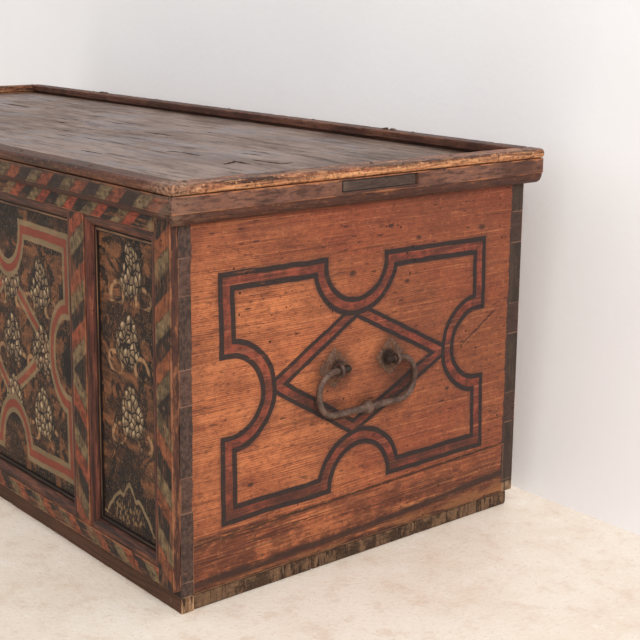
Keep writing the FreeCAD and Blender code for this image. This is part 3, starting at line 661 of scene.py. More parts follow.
    # a dark line painted along the foot of the wall, rubbed orange below it, and a ragged painted shadow at
    # the very foot, above the bottom boards
    sag = 33.0 + (from_front / 600.0) ** 2.0 * 22.0
    sag = sag + (grime - 0.5) * 14.0
    foot_line = b.fall(abs(up - sag), 2.0, 8.5)
    rubbed_foot = b.fall(up - sag, -14.0, -4.0) * b.rise(smear, 0.4, 0.58)
    ragged_foot_shadow = b.fall(up + (smear - 0.5) * 16.0, 23.0, 27.0)
    colour = b.coats(colour,
        (foot_line * kept * 0.86, (52, 38, 33)),
        (rubbed_foot, 0.6, (146, 98, 62)),
        (ragged_foot_shadow, 0.8, (42, 29, 25)))
    # the two upright strips over the joints
    wobble = (b.noise(place, 26.0, 3.0, 0.7) - 0.5) * 8.0
    rear = b.rise(from_front + wobble * 1.6, 574.0, 576.0) * b.rise(up, 34.0, 38.0)
    strip = b.fall(from_front + wobble, 17.2, 18.8) + rear
    strip_paint = b.coats(b.mix(b.rise(grit, 0.38, 0.62), (86, 67, 60), (55, 43, 39)),
        (rear, 0.75, (50, 41, 38)))
    joints = b.use(joint_lines, {"Up": z})
    at_edge = b.fall(from_front, 18.0, 19.0) + b.rise(from_front, 578.5, 579.5)
    joint_share = joints["Line"] * at_edge * b.rise(smear, 0.35, 0.6)
    colour = b.coats(colour,
        (strip, kept_more * 0.92, strip_paint),
        (joint_share, (140, 104, 84)))
    # knots, a check and three scratches
    for knot, size in (((273.3, 399.3), 5.0), ((371.2, 375.6), 4.0), ((515.4, 435.1), 5.5),
                       ((339.3, 455.0), 3.6), ((391.7, 434.3), 4.2), ((106.0, 146.0), 4.0),
                       ((455.0, 208.0), 3.4)):
        way = b.vector("MULTIPLY", b.vector("SUBTRACT", flat, (*knot, 0.0)), (0.62, 1.0, 1.0))
        away = b.length(way) + (rubbed - 0.5) * 6.0
        colour = b.coats(colour, (b.fall(away, size * 0.35, size * 1.15), 0.85, (58, 38, 32)))
    check_mark, *marks = scratches(b, b.scale(flat, MM), (
        ((0.4807, 0.2674), (0.5512, 0.3100), 0.0012), ((0.0667, 0.2086), (0.0990, 0.2040), 0.0009),
        ((0.0805, 0.1991), (0.1180, 0.1965), 0.0009), ((0.2180, 0.3985), (0.2600, 0.4030), 0.0009)))
    colour = b.coats(colour,
        (check_mark, 0.8, (70, 44, 36)),
        *((mark, 0.7, (78, 50, 40)) for mark in marks),
        (worn["Wear"], 0.45, (176, 118, 84)),
        (old["Holes"], (30, 18, 14)))
    # inside the chest and on top the board is bare
    outer = b.rise(x * side, *END_FACE)
    inner_wood = grown(b, "y", shift, 0.004, (176, 136, 100), (150, 110, 78), (96, 68, 50))
    colour = b.mix(outer, inner_wood["Colour"], colour)
    painted = paint["Black"] + paint["Red"]
    roughness = wood["Fibre"] * 0.28 + (0.4 + painted * 0.08)
    sunk = old["Holes"] * 2.5 + (check_mark * 0.8 + old["Dents"] * 0.4)
    relief = wood["Relief"] + painted * 0.1 - sunk
    lay(b, shader, colour, roughness, relief, 0.0009)
    return material


for side, hand_side in SIDES:
    for height, shift in (("upper", 2.9), ("lower", 6.7)):
        node = f"end_board_{height}_{hand_side}"
        low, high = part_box(node)
        finish = end_wall_finish(node, shift * side, low, high, side, height == "lower")
        dress(node, finish)

# Front wall
# Two boards tailed into the end walls. Between the strips of the frame they carry
# the painted panels: fruit hanging in clusters on black, over brown leaves.

# Hanging fruit: pear-shaped clusters at an even spacing, each of scale-like berries with a
# light top and dark seams, among brown strokes. Place is in millimetres from the panel's
# middle line and from the floor. Rows says how many clusters hang under Top.
fruit, b, ins, outs = start_group(
    "hanging_fruit", (("Place", "v"), ("Top", "f"), ("Rows", "f")),
    [(part, "f") for part in ("Berry", "Light", "Seam", "Leaf", "Stroke", "Curl", "Fine")])
hand = b.shaken(ins["Place"], 0.02, 14.0, 3.0)
u, v = b.split(hand)[:2]
fruit_pitch = 93.0
down = ins["Top"] - v
row = b.calc("FLOOR", down / fruit_pitch)
local = down - row * fruit_pitch - fruit_pitch / 2
foot = ins["Rows"] * fruit_pitch
held = b.between(down, (0.0, 1.0), (foot, 1.0 + foot))
tall = local / 37.0
wide = u / (27.5 + tall * 9.0)
egg = b.length(b.join(wide, tall, 0.0))
cluster = b.fall(egg, 0.84, 1.0) * held
grid = b.join(u * 1.12, local * 0.84, row * 7.0)
seam = b.cells(grid, 0.105, feature="DISTANCE_TO_EDGE", loose=0.85)
centre = b.cells(b.vector("ADD", grid, (1.4, 1.8, 0.0)), 0.105, loose=0.85)
berry = cluster * b.rise(seam, 0.05, 0.13)
light = berry * b.fall(centre, 0.1, 0.5)
# two scrolls, part of a circle each, curl in from the sides below every cluster
side_u = abs(u) - 31.0
curl = b.length(b.join(side_u, local - 33.0, 0.0))
curl = abs(curl - (12.0 + local * 0.1))
torn = b.grain(hand, (0.06, 0.045, 1.0), 3.0, 0.6, 1.5)
curl = b.fall(curl, 1.6, 4.6) * (b.rise(torn, 0.4, 0.54) * ((1 - cluster) * held))
leafy = b.grain(hand, (0.026, 0.024, 1.0), 3.0, 0.55, 1.7)
stroke = b.grain(hand, (0.1, 0.035, 1.0), 4.0, 0.6, 1.4)
scored = b.grain(hand, (0.55, 0.16, 1.0), 3.0, 0.7, 1.6)
b.fill(outs, dict(Berry=berry, Light=light, Seam=cluster * b.fall(seam, 0.04, 0.12),
                  Leaf=b.rise(leafy, 0.44, 0.51) * b.rise(egg, 1.0, 1.28),
                  Stroke=b.rise(stroke, 0.58, 0.64) * b.rise(egg, 0.96, 1.1), Curl=curl,
                  Fine=b.rise(scored, 0.57, 0.64) * (1 - cluster)))

# Scroll hood: a pale line that falls to both sides from a peak like a tent, with small dots
# below it. Place is in millimetres from the peak's middle line and from its foot.
hood, b, ins, outs = start_group("scroll_hood", (("Place", "v"),), (("Line", "f"), ("Dots", "f")))
hand = b.shaken(ins["Place"], 0.03, 9.0)
u, v = b.split(hand)[:2]
spread = abs(u)
roof = b.most(1.0 - spread / 57.0, 0.0) ** 0.68 * 56.0
notch = (spread - 15.0) / 5.5
roof = roof - 9.0 * b.calc("EXPONENT", -1.0 * (notch * notch))
above = v - roof
on_line = b.fall(abs(above), 2.2, 4.2) * b.rise(v, -1.0, 0.5)
dots = b.fall(b.cells(b.vector("MULTIPLY", hand, (1.0, 0.45, 1.0)), 0.24, loose=0.8), 0.25, 0.55)
in_hood = b.fall(above, -10.0, -7.0) * (b.rise(v, 0.0, 2.0) * b.fall(spread, 30.0, 38.0))
dots = dots * in_hood
b.fill(outs, dict(Line=on_line, Dots=dots))

# for each panel its kind, its middle's distance from the chest's middle, half its width, the top
# of its fruit and the number of clusters, and how far the fruit hangs beside the middle line
PANELS = (("end", 0.632, 0.084, 466.0, 3.0, -6.0), ("wide", 0.316, 0.196, 405.0, 3.0, 0.0),
          ("middle", 0.0, 0.084, 373.0, 2.0, 0.0))


def front_finish(name, shift):
    """Painted front board: the panels' grounds and fruit outside, bare wood inside."""
    material, b, shader, place = start_finish(name)
    wood = grown(b, "x", shift, 0.006, (150, 104, 72), (122, 80, 55), (70, 48, 38))
    old = aged(b, place, 0.7)
    x, y, z = b.split(place)
    reach = abs(x)
    rubbed = b.grain(place, (22.0, 60.0, 90.0), 5.0, 0.72)
    streaked = b.grain(place, (9.0, 60.0, 34.0), 4.0, 0.6)
    colour = b.mix(b.rise(b.noise(place, 16.0, 4.0, 0.6), 0.4, 0.66), (20, 16, 16), (46, 30, 24))
    for kind, middle, half_width, top, rows, beside in PANELS:
        inside = b.fall(abs(reach - middle), half_width - 0.001, half_width)
        u = (reach - middle) * IN_MM
        v = z * IN_MM
        if kind == "wide":
            # three strings of fruit side by side, inside a strapwork frame
            string = 88.0
            third = (u + 7.5 * string) % string - string / 2
            field = b.fall(abs(u), 129.0, 131.0)
            hung_place = b.join(third, v, 3.0)
            scaled = b.join(u * 1.36 + 292.0, (v - 266.0) * 0.9 + 264.0, 0.0)
            strap = b.use(strapwork, {"Place": scaled})
            inside_strap = strap["Inside"] * (inside * field)
            fruit_place, line = inside_strap, strap["Black"]
        else:
            lean = u - b.calc("SINE", v * 0.034) * 5.0
            hung_place = b.join(lean + beside, v, 11.0 + middle)
            crest = b.use(hood, {"Place": b.join(u, v - 79.0, 0.0)})
            fruit_place, line = inside, crest["Line"]
        hung = b.use(fruit, {"Place": hung_place, "Top": top, "Rows": rows})
        over_hood = b.rise(v, 126.0, 140.0) if kind != "wide" else b.rise(v, 60.0, 80.0)
        leaves, strokes, curls = (hung[part] * inside * over_hood
                                  for part in ("Leaf", "Stroke", "Curl"))
        berry, light, seam = (hung[part] * fruit_place for part in ("Berry", "Light", "Seam"))
        brushed = b.mix(b.rise(streaked, 0.4, 0.6), (58, 36, 26), (124, 79, 51))
        colour = b.coats(colour,
            (leaves, 0.5 + 0.5 * b.rise(rubbed, 0.36, 0.56), brushed),
            (strokes, 0.62, b.mix(b.rise(rubbed, 0.42, 0.58), (28, 20, 18), (158, 104, 68))),
            (hung["Fine"] * inside * 0.5, (170, 132, 96)))
        if kind == "wide":
            curls = curls * inside_strap
        colour = b.coats(colour, (curls, 0.4 + streaked * 0.7, (172, 132, 94)))
        if kind == "wide":
            colour = b.coats(colour, (strap["Red"] * inside, 0.75, (140, 66, 50)))
        colour = b.coats(colour, (line * inside, 0.45 + streaked * 0.5,
                                  b.mix(streaked, (112, 86, 62), (166, 144, 108))))
        if kind != "wide":
            colour = b.coats(colour, (crest["Dots"] * inside, 0.75, (146, 116, 82)))
        colour = b.coats(colour,
            (seam, (30, 23, 21)),
            (berry, 0.9, b.mix(streaked, (86, 64, 46), (150, 126, 98))),
            (light, 0.8, (196, 171, 134)))
    scuffed = b.rise(rubbed, 0.60, 0.72)
    colour = b.coats(colour, (scuffed, 0.75, b.mix(streaked, (96, 62, 46), (164, 108, 74))))
    # the tails' ends, seen from the side of the chest, are painted dark grey-brown
    tail = b.rise(reach, *END_FACE)
    joints = b.use(joint_lines, {"Up": z})
    tail_colour = b.mix(b.rise(b.grain(place, (1.0, 210.0, 150.0), 5.0, 0.7), 0.36, 0.62), (88, 67, 58),
                        (55, 42, 38))
    cracked = b.grain(place, (1.0, 420.0, 14.0), 4.0, 0.7)
    tail_colour = b.coats(tail_colour,
        (joints["Line"], streaked * 0.9, (140, 108, 88)),
        (scuffed, 0.6, (146, 98, 72)),
        (cracked, 0.6, 0.66, 0.8, (36, 27, 25)))
    colour = b.coats(colour, (tail, tail_colour))
    # bare wood on the inner face and the edges
    painted = b.most(tail, b.fall(y, front_plane + 0.0003, front_plane + 0.0008))
    bare = b.mix(old["Soot"] * 0.4, wood["Colour"], (90, 62, 46))
    roughness = rubbed * 0.35 + 0.38
    relief = wood["Relief"] - scuffed * 0.4 - old["Holes"] * 2.5
    colour = b.coats(b.mix(painted, bare, colour), (old["Holes"], (18, 13, 12)))
    lay(b, shader, colour, roughness, relief, 0.0009)
    return material


for height, shift in (("upper", 8.3), ("lower", 9.9)):
    node = "front_board_" + height
    dress(node, front_finish(node, shift))

# Back wall
# Two boards of bare softwood, darkened by age and dust, tailed into the end walls
# like the front. Nothing is painted on them but the ends seen beside the end wall.

for height, shift in (("upper", 12.4), ("lower", 15.1)):
    node = "back_board_" + height
    low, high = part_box(node)
    finish = bare_wood(node, "x", shift, (132, 104, 82), (102, 78, 61), (60, 45, 38), (160, 130, 100),
                       low, high, wear=0.0018, rough=(0.65, 0.88))
    b = Brush(finish.node_tree)
    shader = finish.node_tree.nodes["Principled BSDF"]
    x, y, z = b.split(b.place())
    tail = b.rise(abs(x), *END_FACE) * b.rise(z, 0.034, 0.038)
    joints = b.use(joint_lines, {"Up": z})
    dark_end = b.mix(joints["Line"] * 0.6, (56, 46, 42), (120, 94, 76))
    under = Value(b, shader.inputs["Base Color"].links[0].from_socket)
    b.fill(shader, {"Base Color": b.mix(tail * 0.9, under, dark_end)})
    dress(node, finish)

# Front frame
# Thin strips nailed on the front board: two long rails, a stile at each corner and
# four between the panels. They are painted with slanting bars of tan, red and black.

# Slanting bars: the phase counts bars of three colours, each with a ragged edge and a dark line.
bars, b, ins, outs = start_group(
    "slanting_bars", (("Phase", "f"), ("Place", "v"), ("Dull", "f")), (("Colour", "c"), ("Gap", "f")))
ragged = (b.noise(ins["Place"], 120.0, 3.0, 0.6) - 0.5) * 0.34
phase = ins["Phase"] + (ragged + (b.noise(ins["Place"], 14.0, 2.0) - 0.5) * 0.35)
turn = (phase + 300.0) % 3.0
near_line = 0.5 - abs((phase + 300.0) % 1.0 - 0.5)
mottle = b.noise(ins["Place"], 75.0, 4.0, 0.65)
mottle = b.rise(mottle, 0.34, 0.66)
tan = b.mix(mottle, (72, 60, 43), (136, 115, 82))
black = b.mix(mottle, (20, 18, 18), (42, 36, 32))
red = b.coats(b.mix(mottle, (104, 44, 32), (170, 76, 52)),
    (ins["Dull"], b.mix(mottle, (88, 48, 31), (150, 92, 56))))
colour = b.coats(b.mix(b.rise(turn, 0.98, 1.02), tan, red), (b.rise(turn, 1.98, 2.02), black))
b.fill(outs, dict(Colour=colour, Gap=b.fall(near_line, 0.04, 0.1)))


def barred_wood(name, axis, shift, low, high, phase_of, dull):
    """Painted strip. phase_of works the bars' phase out of X and Z."""
    material, b, shader, place = start_finish(name)
    wood = grown(b, axis, shift, 0.004, (158, 106, 74), (126, 80, 56), (70, 46, 36))
    worn = worn_at(b, place, low, high, 0.0022)
    old = aged(b, place, 1.0)
    x, y, z = b.split(place)
    paint = b.use(bars, {"Phase": phase_of(x, z), "Place": place, "Dull": dull})
    stretch = {"x": (14.0, 60.0, 90.0), "z": (90.0, 60.0, 14.0)}[axis]
    rubbed = b.grain(place, stretch, 5.0, 0.72)
    face = b.fall(y, low[1] + 0.0006, low[1] + 0.0014)
    scored = b.grain(place, [3.5 * s for s in stretch], 3.0, 0.7)
    wear_tone = (146, 94, 66)
    sides = b.mix(b.rise(rubbed, 0.5, 0.64), (76, 47, 38), wear_tone)
    colour = b.coats(b.mix(paint["Gap"] * 0.55, paint["Colour"], (44, 34, 30)),
        (rubbed, 0.5, 0.64, 0.45 + 0.4 * dull, b.mix(0.35, wood["Colour"], (92, 54, 36))),
        (scored, 0.5, 0.62, 0.6, (42, 29, 24)),
        (scored, 0.42, 0.34, 0.45, (158, 108, 74)))
    sides = b.coats(sides, (scored, 0.46, 0.58, 0.65, (50, 33, 28)))
    roughness = rubbed * 0.35 + 0.4
    relief = wood["Relief"] * 0.8 - b.rise(rubbed, 0.56, 0.7) * 0.35
    relief = relief - (old["Holes"] * 2.5 + worn["Wear"] * 0.3)
    colour = b.coats(b.mix(face * 0.9, sides, colour),
        (old["Soot"], 0.3, (48, 36, 31)),
        (worn["Wear"], 0.8, wear_tone),
        (old["Holes"], (18, 12, 11)))
    lay(b, shader, colour, roughness, relief, 0.0008)
    return material


def rail_phase(start, pitch, lean, middle):
    """Bars along a rail: one colour's end lies at start, and the bars lean by so much for
    each metre of height above the rail's middle line."""
    def phase(x, z):
        along = abs(x) - start
        return (along - (z - middle) * lean) / pitch
    return phase


def stile_phase(low, high, pitch):
    """Bars up a stile that turn over at half its height, like a twisted ribbon."""
    middle = (low[0] + high[0]) / 2
    side = 1.0 if middle > 0 else -1.0
    def phase(x, z):
        up = abs(z - 0.265)
        lean = (x - middle) * (-0.85 * side)
        return 2.5 + (up + lean) / pitch
    return phase


RAILS = (("frame_top_rail", rail_phase(0.6995, 0.0247, 1.27, 0.4870)),
         ("frame_bottom_rail", rail_phase(0.6900, 0.0247, -1.20, 0.0425)))
for count, (node, phase) in enumerate(RAILS):
    low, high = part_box(node)
    finish = barred_wood(node, "x", 17.0 + count, low, high, phase, 0.55 * count)
    board(node.replace("frame", "painted"), node, "x", 0.0009, 610 + 50 * count, finish, "carcase",
          "frame_wood")
for count, node in enumerate(("corner_stile_left", "corner_stile_right", "stile_inner_left",
                              "stile_inner_right", "stile_outer_left", "stile_outer_right")):
    low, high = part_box(node)
    finish = barred_wood(node, "z", 19.0 + count, low, high, stile_phase(low, high, 0.0253),
                         0.8 if "corner" in node else 0.35)
    board("painted_" + node, node, "z", 0.0011, 720 + 50 * count, finish, "carcase", "frame_wood")

# Panel mouldings
# A bead, a quirk and a small fillet planted round each panel in four mitred lengths,
# painted dark red over the bead and cream along the fillet, with painted shade in black in the quirk.


def moulding_finish(name, low, high):
    """Colours by how far a point lies in from the opening's edge."""
    material, b, shader, place = start_finish(name)
    x, _, z = b.split(place)
    middle_x, middle_z = (low[0] + high[0]) / 2, (low[2] + high[2]) / 2
    from_side = (high[0] - low[0]) / 2 - abs(x - middle_x)
    from_end = (high[2] - low[2]) / 2 - abs(z - middle_z)
    into = b.least(from_side, from_end) * IN_MM
    upright = b.calc("LESS_THAN", from_side, from_end)
    grain = b.mix(upright, b.vector("MULTIPLY", place, (12.0, 150.0, 150.0)),
                  b.vector("MULTIPLY", place, (150.0, 150.0, 12.0)))
    rubbed = b.noise(grain, 1.0, 5.0, 0.7)
    old = aged(b, place, 1.0)
    upright_tone = b.mix(b.rise(rubbed, 0.36, 0.62), (52, 29, 25), (110, 60, 47))
    level_tone = b.mix(b.rise(rubbed, 0.36, 0.62), (44, 29, 26), (104, 64, 48))
    red = b.mix(upright * b.rise(b.noise(place, 6.0, 2.0), 0.3, 0.55), level_tone, upright_tone)
    colour = b.mix(b.rise(rubbed, 0.58, 0.68) * 0.7, red, (152, 92, 68))
    scored = b.noise(b.scale(grain, 2.7), 1.0, 4.0, 0.7)
    cream = b.mix(b.rise(rubbed, 0.4, 0.58), (150, 112, 80), (84, 56, 42))
    line_share = b.between(into, (15.8, 16.2), (18.2, 19.0))
    line_share = line_share * (0.15 + 0.7 * b.rise(z, low[2] + 0.03, low[2] + 0.07))
    relief = rubbed - old["Holes"] * 2.0
    colour = b.coats(colour,
        (scored, 0.5, 0.62, 0.6, (40, 25, 22)),
        # the quirk: painted shade of the deep groove, near black
        (b.rise(into, 13.2, 14.2), (22, 18, 18)),
        (line_share, cream),
        (old["Soot"], 0.35, (46, 34, 31)),
        (old["Holes"], (18, 12, 11)))
    lay(b, shader, colour, rubbed * 0.3 + 0.36, relief, 0.0006)
    return material


for place in ("end_left", "wide_left", "middle", "wide_right", "end_right"):
    node = "panel_moulding_" + place
    dress(node, moulding_finish(node, *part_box(node)))

# Lock, key and nails
# All of wrought iron: a plate, a case and a sliding bolt behind the front, a pointed
# oval round the keyhole, a key with a ring, and hand-made nails, brown with rust.

# Rust: brown iron with orange bloom, dark pits and hammer marks.
rust, b, ins, outs = start_group(
    "rust", (("Place", "v"), ("Bloom", "f")), (("Colour", "c"), ("Rough", "f"), ("Relief", "f")))
cloud = b.noise(ins["Place"], 60.0, 4.0, 0.65)
bloom = b.noise(ins["Place"], 130.0, 5.0, 0.7, 0.3)
pits = b.noise(ins["Place"], 480.0, 3.0, 0.6)
hammer = b.cells(ins["Place"], 95.0, feature="SMOOTH_F1")
specks = b.noise(ins["Place"], 330.0, 4.0, 0.7, 0.5)
relief = cloud * 0.8 + hammer * 0.5 - b.rise(pits, 0.56, 0.7) * 0.35
colour = b.coats(b.mix(b.rise(cloud, 0.35, 0.65), (100, 81, 73), (146, 119, 106)),
    (bloom, 0.46, 0.62, ins["Bloom"], (122, 76, 52)),
    (specks, 0.6, 0.68, ins["Bloom"] * 0.7, (176, 142, 104)),
    (pits, 0.54, 0.66, 0.8, (46, 34, 31)))
b.fill(outs, dict(Colour=colour, Rough=0.42 + bloom * 0.38, Relief=relief))


def iron_finish(name, bloom, metal=0.55, depth=0.0006, dark=0.0, dark_spots=(), dirt=(40, 34, 33)):
    """Old wrought iron; bloom is how much orange rust it has. dark_spots are places along Y and Z,
    each with a reach, where the iron is black with old grease and dirt; on the bail's knobs, inside their
    eyes, it is also painted shade."""
    material, b, shader, place = start_finish(name)
    skin = b.use(rust, {"Place": place, "Bloom": bloom})
    colour = b.mix(dark, skin["Colour"], dirt) if dark else skin["Colour"]
    _, y, z = b.split(place)
    for spot_y, spot_z, reach in dark_spots:
        away = b.distance(b.join(0.0, y, z), (0.0, spot_y, spot_z))
        away = away + (skin["Rough"] - 0.6) * 0.01
        colour = b.coats(colour, (b.fall(away, reach * 0.5, reach), 0.82, (34, 27, 25)))
    lay(b, shader, colour, skin["Rough"], skin["Relief"], depth)
    shader.inputs["Metallic"].default_value = metal
    return material


lock_iron = iron_finish("lock_iron", 0.75, metal=0.4, dark=0.38)
key_iron = iron_finish("key_iron", 0.35, metal=0.8, depth=0.0003)
nail_iron = iron_finish("nail_iron", 0.6, depth=0.0004, dark=0.35)
for node in ("lock_plate", "lock_case", "lock_bolt", "escutcheon", "lid_catch"):
    dress(node, lock_iron)
dress("key", key_iron)
for node in ("bottom_nails", "frame_nails", "lock_nails", "lid_nails"):
    dress(node, nail_iron)

# Drop handles
# Each is a forged bail, thin at the ends and swollen to a collar in the middle, hung
# in two iron eyes whose legs go through the wall, over ragged rusty plates.

# the bail's dark spots lie at its knobs: grease, and painted shade where they sit in the eyes
handle_iron = iron_finish("handle_iron", 0.34, metal=0.35, dark=0.42,
                          dark_spots=((-0.0285, 0.275, 0.011), (0.0475, 0.275, 0.011)))
plate_iron = iron_finish("plate_iron", 1.0, metal=0.0, depth=0.0026, dark=0.6, dirt=(86, 57, 40),
                         dark_spots=((-0.035, 0.275, 0.015), (0.054, 0.275, 0.015)))


def forged(name, path, radius, across, material, around, facets, seed, square=0.0):
    """Rod swept along a plane path: each ring is P + r (cos a N + sin a T x N), where T follows
    the path, N stands across its plane and r varies with the place and, for hammer marks, the angle.
    square pulls the section from round towards a square bar."""
    tangent = np.gradient(path, axis=0)
    tangent /= np.linalg.norm(tangent, axis=1, keepdims=True)
    normal = np.array(across, float)
    other = np.cross(tangent, normal)
    angle = np.linspace(0, 2 * math.pi, around, endpoint=False)
    run = np.concatenate([[0], np.cumsum(np.linalg.norm(np.diff(path, axis=0), axis=1))])
    beat = 1 + facets * (wander(run, 0.008, seed)[:, None] * np.cos(2 * angle + 1.0)
                         + wander(run, 0.006, seed + 3)[:, None] * np.cos(3 * angle))
    flat = 1 / np.maximum(np.abs(np.cos(angle)), np.abs(np.sin(angle)))
    size = radius[:, None] * beat * ((1 - square) + square * flat)[None, :]
    rings = (path[:, None, :] + size[..., None] * (np.cos(angle)[None, :, None] * normal
             + np.sin(angle)[None, :, None] * other[:, None, :]))
    return tube(name, rings, material)


def arc_points(centre, radius, first, last, count):
    """Points on part of a circle, from one angle to another in degrees."""
    angle = np.radians(np.linspace(first, last, count))
    return np.stack([centre[0] + radius * np.cos(angle), centre[1] + radius * np.sin(angle)], axis=1)


handle_y, handle_z, eye_x = 0.0095, 0.275, 0.762
grip_z, knob = 0.215, 0.0058
# half a bail, from its end to the middle of the grip: Y from the handle's middle, and Z
half_path = np.concatenate([
    np.linspace((0.0312, handle_z), (0.056, handle_z), 26),
    arc_points((0.057, 0.247), 0.028, 90, 0, 22),
    arc_points((0.057, 0.243), 0.028, 0, -90, 22)[1:],
    np.linspace((0.056, grip_z), (0.0, grip_z), 60)])
for side, hand_side in SIDES:
    far_half = half_path[::-1][1:] * (-1, 1)
    flat_path = np.concatenate([half_path, far_half])
    run = np.concatenate([[0], np.cumsum(np.linalg.norm(np.diff(flat_path, axis=0), axis=1))])
    flat_path = flat_path + 0.0004 * np.stack([wander(run, 0.03, 5), wander(run, 0.035, 6)], axis=1)
    middle = np.abs(flat_path[:, 0]) * (flat_path[:, 1] < 0.235) + 0.2 * (flat_path[:, 1] >= 0.235)
    to_end = np.minimum(run, run[-1] - run)
    thick = 0.0042 + 0.0013 * np.exp(-(middle / 0.028) ** 2)
    thick += 0.0034 * np.exp(-(middle / 0.0062) ** 4) - 0.0008 * np.exp(-((middle - 0.0090) / 0.0012) ** 2)
    thick += 0.0007 * np.exp(-((middle - 0.0112) / 0.0012) ** 2)
    # the knob at each end is a ball round a point one radius along: sqrt(r^2 - d^2)
    ball = np.sqrt(np.clip(knob ** 2 - (to_end - knob) ** 2, 0.0008 ** 2, None))
    thick = np.where(to_end < 0.0098, np.maximum(ball, np.where(to_end > knob, 0.0041, 0.0)), thick)
    path = np.stack([np.full(len(run), side * eye_x), handle_y + flat_path[:, 0], flat_path[:, 1]], axis=1)
    bail = forged("forged_bail_" + hand_side, path, thick, (1, 0, 0), handle_iron, 24, 0.035, 12)
    mount(bail, "bail_" + hand_side, "handle_bail_" + hand_side)
    for count, eye_y in enumerate((handle_y - 0.05, handle_y + 0.05)):
        ring = arc_points((eye_x, handle_z), 0.0074, 186, 534, 48)
        loop = np.stack([side * ring[:, 0], np.full(48, eye_y), ring[:, 1]], axis=1)
        loop_size = np.full(48, 0.0024) + 0.0002 * np.cos(np.linspace(0, 9, 48))
        eye = forged(f"eye_ring_{hand_side}_{count}", loop, loop_size, (0, 1, 0), handle_iron, 14, 0.05,
                     30 + count)
        legs = [eye]
        for up in (-1, 1):
            bend = np.concatenate([
                np.linspace((0.7552, handle_z + up * 0.0022), (0.7285, handle_z + up * 0.0022), 12),
                arc_points((0.7295, handle_z + up * 0.0052), 0.0026, -90 * up, -180 * up, 8)[1:],
                np.linspace((0.7268, handle_z + up * 0.0062), (0.7266, handle_z + up * 0.0245), 14)])
            thin = np.concatenate([np.full(19, 0.0019), np.linspace(0.0017, 0.0006, 14)])
            leg = np.stack([side * bend[:, 0], np.full(len(bend), eye_y), bend[:, 1]], axis=1)
            legs.append(forged(f"eye_leg_{hand_side}_{count}_{up + 1}", leg, thin, (0, 1, 0),
                               handle_iron, 10, 0.05, 40 + count, square=0.5))
        for piece in legs:
            mount(piece, "carcase", "handle_eyes_" + hand_side)
        # the plate: rings of a ragged lozenge |y/a|^p + |z/b|^p = 1, domed towards the eye
        turn = np.linspace(0, 2 * math.pi, 144, endpoint=False)
        chance = np.random.default_rng(70 + count + side)
        power = 1.06
        across, upward = np.abs(np.cos(turn)), np.abs(np.sin(turn))
        outline = ((across / 0.0272) ** power + (upward / 0.0283) ** power) ** (-1 / power)
        outline *= 1 + 0.045 * np.sin(17 * turn + chance.uniform(0, 6)) + 0.045 * chance.uniform(-1, 1, 144)
        outline = np.minimum(outline, np.minimum(0.0278 / np.clip(across, 1e-6, None),
                                                 0.0288 / np.clip(upward, 1e-6, None)))
        share = np.array([0.0, 0.25, 0.5, 0.7, 0.85, 0.94, 1.0, 1.0, 0.7, 0.0])
        height = np.array([1.45, 1.45, 1.35, 1.2, 0.95, 0.7, 0.3, 0.0, 0.0, 0.0]) * MM
        bumps = 1 - 0.45 * chance.uniform(0, 1, (10, 144)) * (share * (1 - share) * 4)[:, None] ** 0.5
        radial = share[:, None] * outline[None, :]
        out = 0.75 + height[:, None] * bumps
        rings = np.stack([side * out, eye_y + radial * np.cos(turn), handle_z + radial * np.sin(turn)],
                         axis=-1)
        plate = tube(f"ragged_plate_{hand_side}_{count}", rings[1:-1], plate_iron)
        mount(plate, "carcase", "handle_plates_" + hand_side)

# Hinges
# Two pairs of linked staples at the back: an eye driven through the back board and a
# loop up through the lid, their tips beaten flat, rusted dark.

hinge_iron = iron_finish("hinge_iron", 0.7, dark=0.25)
for hand_side in ("left", "right"):
    dress("hinge_eye_" + hand_side, hinge_iron)
    dress("hinge_loop_" + hand_side, hinge_iron)

# Lid boards
# Two wide planks, edge to edge, worn grey-brown on top where the paint has gone, with
# long checks, and two battens nailed across underneath.

# each check's two ends along X and Y, and its width
LID_CHECKS = (((0.370, -0.0500), (0.402, -0.0408), 0.0026), ((0.392, -0.0418), (0.445, -0.0416), 0.0034),
              ((0.546, -0.0720), (0.527, -0.0360), 0.0030), ((0.520, -0.0380), (0.560, -0.0390), 0.0040),
              ((0.524, -0.0080), (0.560, -0.0042), 0.0032), ((0.548, -0.0044), (0.592, -0.0035), 0.0040),
              ((0.586, -0.0040), (0.583, 0.0215), 0.0026), ((0.455, 0.0265), (0.492, 0.0345), 0.0026),
              ((0.290, -0.1500), (0.345, -0.1465), 0.0026), ((0.120, 0.0650), (0.200, 0.0690), 0.0030),
              ((-0.260, -0.1000), (-0.170, -0.0950), 0.0030), ((-0.520, 0.1200), (-0.400, 0.1250), 0.0030))


